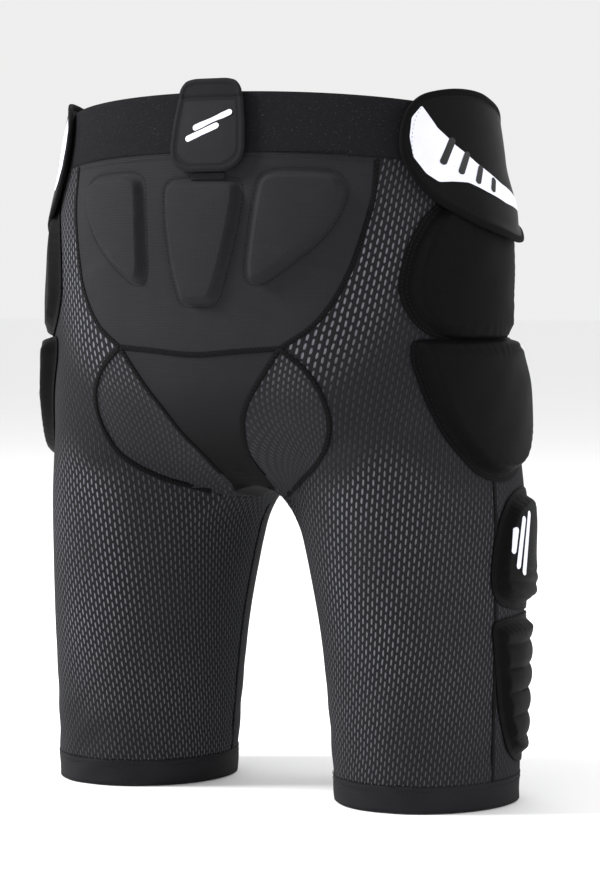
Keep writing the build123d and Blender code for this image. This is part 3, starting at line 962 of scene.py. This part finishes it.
# ---- the wall ----
def hole_light(p):
    """How light the mesh holes are painted, from 0 to 1: painted light seen through the holes, and painted
    shade where they are dark: above the crotch line except beside the seat, on the inner thighs, towards the
    outer sides, low on the legs, near the waist and in a patch low on the left leg.
    """
    side, y, z = np.sign(p[:, 0]), p[:, 1], p[:, 2]
    x = np.abs(p[:, 0])
    arc = 0.213 + 0.030 * np.exp(-((x - 0.128) / 0.026) ** 2) + 0.012 * np.exp(-((x - 0.070) / 0.020) ** 2)
    leg = step(z, arc + 0.012, arc - 0.016) * (1.0 - 0.65 * step(x, 0.100, 0.068) * step(z, 0.02, 0.10))
    outer = step(x, 0.178, 0.092)
    leg = leg * (0.30 + 0.70 * outer) * (0.50 + 0.50 * step(z, 0.02, 0.11))
    outside = -across_back(SEAT_ZONE)(p)
    beside_seat = step(outside, 0.046, 0.014) * step(z, 0.262, 0.292) * (0.42 + 0.58 * step(z, 0.425, 0.365))
    seat_side = 0.80 * beside_seat * step(y, 0.0, 0.05)
    leg = leg * (0.80 + 0.20 * np.sin(x * 95 + z * 21) * np.sin(z * 47 - x * 30))
    dim_patch = (side > 0) * np.exp(-((x - 0.120) / 0.034) ** 2 - ((z - 0.036) / 0.022) ** 2)
    return np.clip(0.05 + 0.95 * np.maximum(leg, seat_side) * (1 - 0.8 * dim_patch), 0, 1)


# Painted light and shade for the gusset mesh holes: darker low down towards the crotch, lighter above
def gusset_hole_light(p):
    z = p[:, 2]
    return 0.08 + 0.50 * step(z, 0.270, 0.300)


TAIL_SIDE = [(0.1005, 0.412), (0.0985, 0.421), (0.091, 0.4255), (0.074, 0.427), (0.057, 0.427),
             (0.0475, 0.423), (0.0445, 0.411), (0.042, 0.388), (0.0402, 0.366), (0.042, 0.3565),
             (0.049, 0.355), (0.057, 0.359), (0.070, 0.3685), (0.085, 0.3815), (0.0955, 0.396)]
TAIL_CENTRE = [(-0.0285, 0.414), (-0.0255, 0.4205), (-0.018, 0.422), (0, 0.4222), (0.018, 0.422),
               (0.0255, 0.4205), (0.0285, 0.414), (0.0262, 0.392), (0.0208, 0.366), (0.0145, 0.346),
               (0.010, 0.341), (0, 0.3402), (-0.010, 0.341), (-0.0145, 0.346), (-0.0208, 0.366),
               (-0.0262, 0.392)]
TAIL_CENTRE_SHIFT = -0.004  # the centre foam sits a little to the wearer's right
TAIL_OUTLINES = {
    "left": curve_through(TAIL_SIDE, 150),
    "centre": curve_through(TAIL_CENTRE, 150) + (TAIL_CENTRE_SHIFT, 0),
    "right": curve_through(mirrored(TAIL_SIDE), 150),
}
TAIL_HEIGHT = 0.0052
TAIL_WALL = 0.0046


def tail_relief(p):
    """How far the tail foams push the seat panel out, with a pressed line round each."""
    height = np.zeros(len(p))
    for outline in TAIL_OUTLINES.values():
        depth = inside_by(outline, p[:, [0, 2]])
        swell = 0.0014 * (1 - np.exp(-np.maximum(depth, 0) / 0.010))
        pressed = -0.0005 * np.exp(-((depth + 0.0018) / 0.0016) ** 2)
        height = height + TAIL_HEIGHT * step(depth, 0, TAIL_WALL) + swell + pressed
    return height


def build_wall():
    points, triangles = form_mesh(GRID)
    below = lambda c: above_band(c) < 0
    cuts = [
        (lambda p: p[:, 2], None),
        (lambda p: p[:, 2] - waist_line(p[:, 1]), None),
        (above_band, None),
        (lambda p: p[:, 2] - HEM_HEIGHT, None),
        (across_back(SEAT_ZONE), lambda c: behind(c) & below(c)),
        (across_back(GUSSET_ZONE), lambda c: behind(c) & below(c)),
        (across_sides(INNER_ZONE), lambda c: behind(c) & below(c)),
        (lambda p: p[:, 1], lambda c: (np.abs(c[:, 0]) < 0.03) & (c[:, 2] < 0.25)),
        (across_back(FRONT_ZONE), lambda c: before(c) & below(c)),
        (front_seam, lambda c: below(c)),
    ]
    for value, where in cuts:
        points, triangles = cut(points, triangles, value, where)
    c = points[triangles].mean(axis=1)
    kept = (c[:, 2] > 0) & (c[:, 2] < waist_line(c[:, 1]))
    band = kept & (above_band(c) > 0)
    hem = kept & (c[:, 2] < HEM_HEIGHT)
    cloth = kept & ~band & ~hem
    seat = cloth & behind(c) & (across_back(SEAT_ZONE)(c) > 0)
    gusset = cloth & behind(c) & ~seat & (across_back(GUSSET_ZONE)(c) > 0)
    centre = cloth & before(c) & (across_back(FRONT_ZONE)(c) > 0)
    inner = cloth & behind(c) & ~seat & ~gusset & (across_sides(INNER_ZONE)(c) > 0)
    legs = cloth & ~seat & ~gusset & ~centre & ~inner
    rear = legs & (front_seam(c) > 0)

    p, t = pick(points, triangles, band)
    p = p + normals_at(p) * 0.0005
    panel("waistband_elastic", p, t, body_chart, "waistband", "waist_elastic")
    p, t = quarter(*pick(points, triangles, seat))
    for outline in TAIL_OUTLINES.values():
        for level in (0, TAIL_WALL):
            p, t = cut(p, t, lambda q: across_back(outline)(q) - level)
    build_seat(p, t)
    p, t = pick(points, triangles, gusset)
    panel("crotch_gusset_knit", p, t, front_chart, "crotch_gusset", "gusset_knit")
    p, t = pick(points, triangles, centre)
    panel("front_centre_knit", p, t, front_chart, "front_centre_panel", "front_stretch",
          material=MATERIALS["front_knit"])
    for name, side in SIDES.items():
        own = side * c[:, 0] > 0
        leg_back = lambda q: leg_chart(q, side, 1)
        leg_front = lambda q: leg_chart(q, side, -1)
        # The leg mesh panels carry painted hole light and shade, the front ones 0.6 of it
        p, t = pick(points, triangles, rear & own)
        panel(f"rear_leg_net_{name}", p, t, leg_back, f"rear_leg_mesh_{name}", "leg_mesh", hole_light)
        p, t = pick(points, triangles, legs & ~rear & own)
        panel(f"front_leg_net_{name}", p, t, leg_front, f"front_leg_panel_{name}", "front_stretch",
              lambda q: 0.6 * hole_light(q), MATERIALS["front_mesh"])
        p, t = pick(points, triangles, inner & own)
        panel(f"inner_gusset_net_{name}", p, t, leg_back, f"inner_gusset_{name}", "gusset_mesh",
              gusset_hole_light)
        p, t = pick(points, triangles, hem & own)
        p = p + normals_at(p) * 0.0004
        panel(f"hem_band_knit_{name}", p, t, leg_back, f"hem_band_{name}", "hem_knit")


def build_seat(p, t):
    normals = normals_at(p)
    outer = p + normals * tail_relief(p)[:, None]
    seat = make_object("seat_outer_knit", outer, t, front_chart(p))
    thicken(seat, 0.0008)
    dress(seat, "shorts", "seat_knit")
    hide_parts("seat_panel")
    lining = make_object("seat_lining_knit", p - normals * 0.0011, t, front_chart(p))
    thicken(lining, 0.0006)
    dress(lining, "shorts", "lining")
    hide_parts("seat_lining")
    area = area_of(p, t)
    width, height = np.ptp(front_chart(p), axis=0)
    width = max(width, area / height * 1.02)


def foam_block(name, outline, place, low, high, stands_for):
    """A foam pad with a rounded top face, closed by a flat back face."""
    def lift(_, depth):
        rounded = np.sqrt(np.clip(1 - (1 - np.clip(depth / 0.006, 0, 1)) ** 2, 0, 1))
        return low + 0.0004 + (high - low - 0.0004) * rounded
    top = ringed(name, outline, place, lift, rings=20)
    back = ringed(f"{name}_back", outline, place, lambda q, d: np.full(len(q), low), rings=4)
    for polygon in back.data.polygons:
        polygon.flip()
    with bpy.context.temp_override(object=top, active_object=top, selected_objects=[top, back],
                                   selected_editable_objects=[top, back]):
        bpy.ops.object.join()
    dress(top, "shorts", "foam")
    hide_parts(stands_for)
    return top


def grown(outline, amount):
    """The outline moved outwards by an amount in its own plane; inwards if negative."""
    ahead = np.roll(outline, -1, axis=0) - np.roll(outline, 1, axis=0)
    ahead /= np.linalg.norm(ahead, axis=1, keepdims=True)
    outward = np.stack([ahead[:, 1], -ahead[:, 0]], axis=-1)
    area = np.sum(outline[:, 0] * np.roll(outline[:, 1], -1) - np.roll(outline[:, 0], -1) * outline[:, 1])
    return outline + outward * amount * np.sign(area)


def ring_path(outline):
    return np.vstack([outline, outline[:1]])


def build_tail():
    for name, outline in TAIL_OUTLINES.items():
        core = grown(outline, -0.0022)
        foam_block(f"tail_foam_{name}", core, on_back, -0.0009, TAIL_HEIGHT - 0.0012, f"tail_pad_{name}")
        path = ring_path(grown(outline, 0.0026))
        stitch_along(f"tail_stitches_{name}", path, on_back, 0.0, 0.0026, 0.0013, STITCH_RADIUS, "shorts",
                     MATERIALS["dark_thread"])


# ---- side armour ----
HIP = [(0.060, 0.405), (0.067, 0.397), (0.0745, 0.382), (0.079, 0.367), (0.081, 0.352), (0.080, 0.341),
       (0.0765, 0.330), (0.070, 0.3215), (0.060, 0.3172), (0.042, 0.3158), (0.010, 0.3160),
       (-0.006, 0.3180), (-0.0125, 0.328), (-0.019, 0.350), (-0.026, 0.376), (-0.027, 0.400),
       (-0.020, 0.422), (0.010, 0.4275), (0.038, 0.4265), (0.052, 0.417)]
SIDE_THIGH = [(0.0765, 0.3115), (0.0765, 0.302), (0.0742, 0.290), (0.0702, 0.2755), (0.0642, 0.262),
              (0.0562, 0.2485), (0.0475, 0.2375), (0.0385, 0.2285), (0.029, 0.2235), (0.018, 0.2208),
              (0.004, 0.2205), (-0.010, 0.2232), (-0.026, 0.231), (-0.043, 0.246), (-0.053, 0.266),
              (-0.0565, 0.288), (-0.050, 0.307), (-0.032, 0.3160), (0.010, 0.3172), (0.045, 0.3170),
              (0.064, 0.3172), (0.0742, 0.3160)]
PATCH = [(-0.020, 0.2150), (0.001, 0.2100), (0.0115, 0.2015), (0.0175, 0.192), (0.0222, 0.179),
         (0.0250, 0.163), (0.0248, 0.151), (0.0195, 0.1405), (0.007, 0.1350), (-0.018, 0.1315),
         (-0.040, 0.1325), (-0.054, 0.144), (-0.060, 0.170), (-0.054, 0.198), (-0.040, 0.2115)]
CHANNEL = [(0.0235, 0.123), (0.0222, 0.108), (0.0190, 0.087), (0.0150, 0.066), (0.0090, 0.0485),
           (0.0015, 0.0365), (-0.0100, 0.0292), (-0.030, 0.0270), (-0.046, 0.034), (-0.056, 0.055),
           (-0.060, 0.085), (-0.0585, 0.112), (-0.052, 0.1265), (-0.015, 0.1285), (0.016, 0.1275)]
ARMOUR = {
    "hip": (HIP, 0.0066, 0.0010),
    "side_thigh": (SIDE_THIGH, 0.0098, 0.0024),
    "thigh_patch": (PATCH, 0.0072, 0.0016),
    "outer_thigh": (CHANNEL, 0.0048, 0.0008),
}


def channel_ribs(base):
    """Rounded ribs across the long outer thigh cover, one over the other."""
    def lift(q, depth):
        share = step(depth, COVER_SEAM - 0.001, COVER_SEAM + 0.006)
        rib = np.abs(np.sin((q[:, 1] - 0.027) * pi / RIB_PITCH)) ** 0.55
        return base(q, depth) + share * 0.0030 * (rib - 0.55)
    return lift


def under_strap(base):
    """The hip pad thins out where it runs up under the waist strap."""
    def lift(q, depth):
        return 0.0013 + (base(q, depth) - 0.0013) * (0.25 + 0.75 * step(q[:, 1], 0.422, 0.392))
    return lift


SHAPERS = {"outer_thigh": channel_ribs, "hip": under_strap, "thigh_patch": patch_folds}


def armour_shape(kind):
    """A side pad's outline, and its height over the form."""
    edge, height, crown = ARMOUR[kind]
    outline = curve_through(edge, 170)
    lift = pad_profile(COVER_SEAM, height, 0.0062, crown, 0.012, outline.mean(axis=0))
    return outline, SHAPERS[kind](lift) if kind in SHAPERS else lift


def build_armour():
    for name, side in SIDES.items():
        place = on_side(side)
        for kind, (_, height, _) in ARMOUR.items():
            outline, lift = armour_shape(kind)
            cover = ringed(f"{kind}_shell_{name}", outline, place, lift, rings=46)
            thicken(cover, 0.0009)
            dress(cover, "shorts", "pad_cover")
            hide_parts(f"{kind}_cover_{name}")
            core = grown(outline, -COVER_SEAM - 0.0030)
            core[:, 1] = np.minimum(core[:, 1], 0.396)
            foam_block(f"{kind}_foam_{name}", core, place, 0.0003, height - 0.0022, f"{kind}_pad_{name}")
            for share, label in ((0.28, "outer"), (0.82, "inner")):
                path = ring_path(grown(outline, -COVER_SEAM * share))
                stitch_along(f"{kind}_stitches_{label}_{name}", path, place, 0.0013, 0.0027, 0.0017,
                             STITCH_RADIUS, "shorts")


PATCH_PRINT = [((0.0090, 0.1810), 0.018), ((0.0015, 0.1790), 0.036), ((-0.0065, 0.1780), 0.044)]


def build_prints():
    """Plain slanting bars stand for the prints on the thigh patches and on the left thigh pad."""
    def printed(kind, name, side, bars):
        outline, lift = armour_shape(kind)
        over = lambda q, _: lift(q, np.maximum(inside_by(outline, q), 0)) + 0.0004
        build_mark(name, bars, on_side(side), over, "shorts")

    for name, side in SIDES.items():
        bars = [bar(centre, length, 0.0050, radians(104)) for centre, length in PATCH_PRINT]
        printed("thigh_patch", f"patch_bars_{name}", side, bars)
    printed("side_thigh", "thigh_bar_left", 1, [bar((0.050, 0.266), 0.024, 0.0030, radians(66))])


def build_grippers():
    """A ring of silicone inside each hem, made of raised waves on a band."""
    angles = np.linspace(0, 2 * pi, 240, endpoint=False)
    heights = np.linspace(0.0045, 0.0135, 8)
    for name, side in SIDES.items():
        rows = []
        for z in heights:
            outer = around_leg(angles, z, side)
            swell = 0.0022 + 0.0005 * np.sin(angles * 60 + z * 2 * pi / 0.009)
            rows.append(outer - normals_at(outer) * swell[:, None])
        points = np.vstack(rows)
        faces = [quad[::-side] for quad in grid_faces(len(heights), len(angles))]
        uv = np.stack([np.tile(angles * 0.065, len(heights)), np.repeat(heights, len(angles))], axis=-1)
        ring = make_object(f"gripper_ring_{name}", points, faces, uv)
        thicken(ring, 0.0007, offset=0.0)
        dress(ring, "shorts", "silicone")
        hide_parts(f"leg_gripper_{name}")


# ---- straps ----
STRAP = [(-0.056, 0.454), (-0.030, 0.466), (0.001, 0.4758), (0.017, 0.4803), (0.035, 0.4818),
         (0.050, 0.4798), (0.0595, 0.4755), (0.0665, 0.466), (0.0712, 0.452), (0.0728, 0.437),
         (0.0700, 0.423), (0.0635, 0.4105), (0.050, 0.399), (0.033, 0.3900), (0.011, 0.3832),
         (-0.008, 0.3812), (-0.030, 0.3865), (-0.056, 0.404)]


def strap_lift(q, depth):
    """The strap lies on its tape above, and stands off the hip pad below."""
    off_pad = 0.0052 * step(q[:, 1], 0.436, 0.398) * step(q[:, 0], 0.070, 0.030)
    lip = 0.0026 * step(depth, 0.010, 0.0) * step(q[:, 1], 0.412, 0.392) * step(q[:, 0], 0.040, 0.015)
    return 0.0042 + off_pad + lip


def build_straps():
    for name, side in SIDES.items():
        place = on_side(side)
        body = f"strap_{name}"
        outline = curve_through(STRAP, 200)
        outline[:, 0] = np.maximum(outline[:, 0], STRAP_FRONT)
        cloth = ringed(f"strap_wing_{name}", outline, place, strap_lift, rings=40)
        thicken(cloth, 0.0020, offset=0.0)
        dress(cloth, body, "strap_cloth")
        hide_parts(f"strap_cloth_{name}")
        edge = rim(f"strap_edge_{name}", outline, place, strap_lift, 0.0046, 0.0032, body)
        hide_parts(f"strap_binding_{name}")
        path = ring_path(grown(outline, -STRAP_STITCH_INSET))
        height = strap_lift(path, np.full(len(path), STRAP_STITCH_INSET)) + 0.0010
        stitch_along(f"strap_stitches_{name}_48", path, place, height, 0.0029, 0.0019, STITCH_RADIUS, body)
        over = lambda q, d: strap_lift(q, d + 0.012) + 0.0012
        wedge = polygon_outline(STRAP_WEDGE, 260, 2)
        mark = ringed(f"strap_wedge_{name}", wedge, place, over, rings=30, inner_share=0.0,
                      centre=WEDGE_MIDDLE)
        dress(mark, body, "white_print")
        bars = [bar(centre, length, 0.0042, radians(-62)) for centre, length in WEDGE_BARS]
        build_mark(f"strap_bars_{name}", bars, place, lambda q, d: over(q, d) + 0.0002, body,
                   MATERIALS["black_print_and_shadow"])
        tape(f"strap_loop_tape_{name}", LANDING, place, 0.0004, 0.0012, "shorts", "loop_tape",
             f"strap_landing_{name}")
        inner = [LANDING[0] + 0.003, LANDING[1] - 0.003, LANDING[2] + 0.003, LANDING[3] - 0.003]
        tape(f"strap_hook_tape_{name}", inner, place, 0.0017, 0.0028, body, "hook_tape", f"strap_hook_{name}")
        tape(f"strap_root_{name}", STRAP_ANCHOR, place, 0.0004, 0.0018, "shorts", "binding",
             f"strap_anchor_{name}")
        build_strap_bend(name, side, place)


STRAP_STITCH_INSET = 0.0048
LANDING = (0.008, 0.052, 0.434, 0.464)
STRAP_ANCHOR = (-0.076, -0.062, 0.410, 0.447)
STRAP_WEDGE = [(0.0590, 0.4700), (0.0650, 0.4620), (0.0680, 0.4490), (0.0682, 0.4360), (0.0635, 0.4250),
               (0.0575, 0.4195), (0.0500, 0.4200), (0.0400, 0.4195), (0.0270, 0.4135), (0.0090, 0.4065),
               (-0.0170, 0.4020), (-0.0170, 0.4110), (0.0090, 0.4200), (0.0290, 0.4320), (0.0440, 0.4440),
               (0.0530, 0.4550)]
WEDGE_MIDDLE = (0.047, 0.430)
WEDGE_BARS = [((0.0495, 0.4400), 0.020), ((0.0400, 0.4325), 0.017), ((0.0300, 0.4250), 0.014),
              ((0.0190, 0.4185), 0.011)]


def tape(name, bounds, place, low, high, body, slot_name, stands_for):
    """A flat rectangle of tape with softened corners."""
    u0, u1, v0, v1 = bounds
    outline = polygon_outline([(u0, v0), (u1, v0), (u1, v1), (u0, v1)], 120, 3)
    piece = ringed(name, outline, place, lambda q, d: low + (high - low) * step(d, 0, 0.0008), rings=16)
    dress(piece, body, slot_name)
    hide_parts(stands_for)
    return piece


def build_strap_bend(name, side, place):
    """The cloth between the strap's sewn root and the strap."""
    y = np.linspace(-0.0665, -0.0530, 24)
    z = np.linspace(0.4100, 0.4470, 40)
    yy, zz = np.meshgrid(y, z, indexing="ij")
    base = place(yy.ravel(), zz.ravel())
    rise = 0.0019 + 0.0021 * step(yy.ravel(), -0.0640, -0.0560)
    points = base + normals_at(base) * rise[:, None]
    faces = [quad[::side] for quad in grid_faces(len(y), len(z), closed=False)]
    obj = make_object(f"strap_bend_{name}", points, faces, np.stack([yy.ravel(), zz.ravel()], axis=-1))
    thicken(obj, 0.0012)
    obj.data.materials.clear()
    obj.data.materials.append(MATERIALS["strap_cloth"])
    start, end = place(np.array([-0.0640, -0.0560]), np.array([0.43, 0.43]))
    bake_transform(obj)


# ---- rear tab ----
TAB_FOOT = 0.4278
TAB_SLOT_HALF = 0.0205
TAB_LENGTH = 0.0616
TAB_HALF = [(0.0140, 0.4278), (0.0215, 0.4305), (0.0262, 0.4355), (0.0275, 0.4430), (0.0262, 0.4600),
            (0.0238, 0.4760), (0.0222, 0.4835), (0.0185, 0.4880), (0.0120, 0.4894)]
TAB_PANEL_HALF = [(0.0118, 0.4312), (0.0205, 0.4355), (0.0237, 0.4415), (0.0222, 0.4600), (0.0205, 0.4762)]


def flat_lift(height):
    return lambda q, depth: np.full(len(q), height)


def polygon_outline(points, count, rounds=0):
    """A polygon sampled evenly, with its corners softened by averaging."""
    path = resample(np.array(points, float), count)
    for _ in range(rounds):
        path = (np.roll(path, 1, axis=0) + 2 * path + np.roll(path, -1, axis=0)) / 4
    return path


def tab_outline(half, count, rounds):
    """The tab's outline from its left half, mirrored about the tab's own middle."""
    whole = list(half) + mirrored(half)
    return polygon_outline(whole, count, rounds) + (TAB_MIDDLE, 0)


def tab_bow(q):
    """The tab stands off the band most at its middle height."""
    return 0.0008 * np.sin(np.clip((q[:, 1] - TAB_FOOT) / TAB_LENGTH, 0, 1) * pi)


def tab_lift(q, depth):
    """The tab's back cloth: a raised rolled rim, with a lip above the pocket slot."""
    roll = 0.0007 * np.exp(-((depth - 0.0016) / 0.0011) ** 2)
    lip = 0.0009 * step(q[:, 1], 0.4775, 0.4790)
    return 0.0036 + roll + lip + tab_bow(q)


def tab_face_lift(q, depth):
    return 0.0040 + tab_bow(q) + 0.0011 * step(depth, 0, 0.0018) + 0.0004 * step(depth, 0.002, 0.012)


def build_tab():
    outline = tab_outline(TAB_HALF, 200, 5)
    base = ringed("tab_back_cloth", outline, on_back, tab_lift, rings=44)
    thicken(base, 0.0014, offset=1.0)
    dress(base, "rear_tab", "tab_cloth")
    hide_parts("tab_base")
    inset = tab_outline(TAB_PANEL_HALF, 180, 4)
    face = ringed("tab_face", inset, on_back, tab_face_lift, rings=34)
    thicken(face, 0.0008)
    dress(face, "rear_tab", "tab_panel")
    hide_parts("tab_panel")
    path = ring_path(grown(inset, -0.0013))
    height = tab_face_lift(path, np.full(len(path), 0.0013))
    stitch_along("tab_face_stitches", path, on_back, height, 0.0024, 0.0015, 0.0002, "rear_tab")
    across = np.linspace(-TAB_SLOT_HALF, TAB_SLOT_HALF, 60) + TAB_MIDDLE
    row = np.stack([across, np.full(60, 0.4795)], axis=-1)
    height = tab_lift(row, np.full(60, 0.008))
    stitch_along("tab_lip_stitches", row, on_back, height, 0.0022, 0.0013, 0.0002, "rear_tab")
    half = TAB_SLOT_HALF
    # A black strip where the slot opens above the lip: painted shadow in the gap
    band = np.array([(-half, 0.4766), (half, 0.4766), (half, 0.4782), (-half, 0.4782)]) + (TAB_MIDDLE, 0)
    over = lambda q, d: tab_lift(q, d + 0.008) + 0.00015
    slot = ringed("tab_slot_shadow", resample(band, 80), on_back, over, rings=4)
    dress(slot, "rear_tab", "tab_cloth", MATERIALS["black_print_and_shadow"])
    tape("tab_loop_tape", (TAB_MIDDLE - 0.018, TAB_MIDDLE + 0.018, 0.447, 0.475), on_back, 0.0004, 0.0011,
         "shorts", "loop_tape", "tab_landing")
    tape("tab_hook_tape", (TAB_MIDDLE - 0.015, TAB_MIDDLE + 0.015, 0.450, 0.472), on_back, 0.0017, 0.0030,
         "rear_tab", "hook_tape", "tab_hook")
    tape("tab_root", (TAB_MIDDLE - 0.013, TAB_MIDDLE + 0.013, 0.4225, 0.4277), on_back, 0.0004, 0.0012,
         "shorts", "seat_knit", "tab_anchor")
    build_mark("tab_mark", TAB_MARK, on_back, lambda q, d: tab_face_lift(q, d + 0.016) + 0.0002, "rear_tab")


def build_mark(name, outlines, place, lift, body, material=None):
    """A flat print that follows the cloth under it."""
    for i, outline in enumerate(outlines):
        mark = ringed(f"{name}_{i}", outline, place, lift, rings=14, inner_share=0.0)
        dress(mark, body, "white_print", material)


def bar(centre, length, width, lean, count=90):
    """A rounded slanting bar."""
    half = length / 2 - width / 2
    turn = np.linspace(-pi / 2, pi / 2, count // 2)
    right = np.stack([half + width / 2 * np.cos(turn), width / 2 * np.sin(turn)], axis=-1)
    path = np.vstack([right, -right])
    c, s = cos(lean), sin(lean)
    return path @ np.array([(c, s), (-s, c)]) + centre


# A plain mark of slanting bars stands where a print is
TAB_MARK = [bar((TAB_MIDDLE - 0.0035, 0.4615), 0.030, 0.0040, radians(158)),
            bar((TAB_MIDDLE + 0.0035, 0.4535), 0.026, 0.0040, radians(158))]


# ---- seams of the wall ----
def build_seams():
    def on_both(label, path, place, lift=0.0):
        for name, side in SIDES.items():
            points = place(path[:, 0] * side, path[:, 1])
            flatlock(f"{label}_{name}", points, lift=lift)

    def below_band(path, place):
        points = place(path[:, 0], path[:, 1])
        return path[above_band(points) < -0.001]

    on_both("seat_side_seam", resample(below_band(seat_side, on_back), 150, closed=False), on_back)
    seat_line = resample(seat_bottom, 110, closed=False)
    flatlock("seat_bottom_seam", on_back(seat_line[:, 0], seat_line[:, 1]))
    low = gusset_side[gusset_side[:, 1] > 0.222]
    on_both("gusset_seam", resample(low, 110, closed=False), on_back, 0.0003)
    crescent = inner_side[inner_side[:, 0] > 0.030]
    on_both("crescent_seam", resample(crescent, 150, closed=False), on_back, 0.0007)
    front = below_band(front_side[front_side[:, 1] > 0.235], on_front)
    on_both("front_seam", resample(front, 150, closed=False), on_front)
    for name, side in SIDES.items():
        build_long_seams(name, side)
        rows = np.linspace(0, 2 * pi, 200)
        for height in (HEM_HEIGHT, HEM_HEIGHT - 0.0035):
            points = around_leg(rows, height, side)
            normals = normals_at(points)
            stitches(f"hem_stitches_{name}_{height * 1000:.0f}", points + normals * 0.0004, normals,
                     0.0030, 0.0021, STITCH_RADIUS, "shorts")
    rows = np.linspace(0, 2 * pi, 420)
    for drop in (0.0005, 0.0038):
        z = np.full_like(rows, 0.43)
        for _ in range(8):
            points = around_waist(rows, z)
            z = waist_line(points[:, 1], BAND_HEIGHT + drop)
        normals = normals_at(points)
        stitches(f"band_stitches_{drop * 10000:.0f}", points + normals * 0.0006, normals, 0.0030, 0.0021,
                 STITCH_RADIUS, "shorts")


def build_long_seams(name, side):
    """The seams between front and rear leg panels: outer side, and inner leg."""
    outer_z = np.linspace(HEM_HEIGHT, 0.418, 260)
    angle = np.full_like(outer_z, 0.2)
    inner_z = np.linspace(HEM_HEIGHT, 0.196, 120)
    for _ in range(14):
        points = around_leg(angle, np.minimum(outer_z, 0.26), side)
        angle = angle - front_seam(points) / 0.08
    y_line = points[:, 1]
    for _ in range(6):
        points = on_side(side)(y_line, outer_z)
        y_line = y_line - front_seam(points)
    flatlock(f"outer_seam_{name}", points)
    angle = np.full_like(inner_z, pi + 0.2)
    for _ in range(14):
        points = around_leg(angle, inner_z, side)
        angle = angle + front_seam(points) / 0.08
    flatlock(f"inseam_{name}", points)


# ---- camera, light and floor ----
CAMERA_TARGET = np.array((0, FORM_AXIS_Y, 0.247))
CAMERA_DISTANCE = 2.05
CAMERA_RISE = radians(2.7)


def build_stage():
    camera = bpy.data.cameras.new("camera")
    camera.lens = 120
    camera.sensor_width = 36
    camera.shift_x = 0.0178
    back = np.array((-0.5 * cos(CAMERA_RISE), 0.8660 * cos(CAMERA_RISE), sin(CAMERA_RISE)))
    holder = bpy.data.objects.new("camera", camera)
    holder.location = CAMERA_TARGET + back * CAMERA_DISTANCE
    holder.rotation_euler = (radians(90) - CAMERA_RISE, 0, radians(210))
    bpy.context.scene.collection.objects.link(holder)
    bpy.context.scene.camera = holder
    bpy.ops.mesh.primitive_plane_add(size=80, location=(0, 0, -0.0006))
    floor = bpy.context.object
    floor.name = "floor"
    g = Graph("floor")
    colour = shade(g, grey(0.97, 0), g.math("ADD", 0.985, g.math("MULTIPLY", g.noise(3, 2), 0.02)))
    floor.data.materials.append(g.finish(Base_Color=colour, Roughness=0.9))
    world = bpy.data.worlds.new("studio")
    bpy.context.scene.world = world
    world.use_nodes = True
    world.node_tree.nodes["Background"].inputs[0].default_value = (1, 1, 1, 1)
    world.node_tree.nodes["Background"].inputs[1].default_value = 0.86
    for name, place, size, power in LIGHTS:
        lamp = bpy.data.lights.new(name, "AREA")
        lamp.energy = power
        lamp.size = size
        holder = bpy.data.objects.new(name, lamp)
        holder.location = place
        aim = np.array((0, 0, 0.25)) - np.array(place)
        yaw = np.arctan2(aim[1], aim[0])
        tilt = np.arctan2(np.hypot(aim[0], aim[1]), -aim[2])
        holder.rotation_euler = (tilt, 0, yaw - pi / 2)
        bpy.context.scene.collection.objects.link(holder)
    bpy.context.scene.view_settings.view_transform = "Standard"


# Lights: name, place, size, power
LIGHTS = [
    ("key", (2.2, 1.30, 2.5), 0.8, 150),
    ("rim", (-2.6, -0.9, 1.2), 0.9, 22),
    ("front", (0.5, -1.6, 2.6), 1.6, 22),
]

build_wall()
build_tail()
build_armour()
build_prints()
build_grippers()
build_straps()
build_tab()
build_seams()
build_stage()
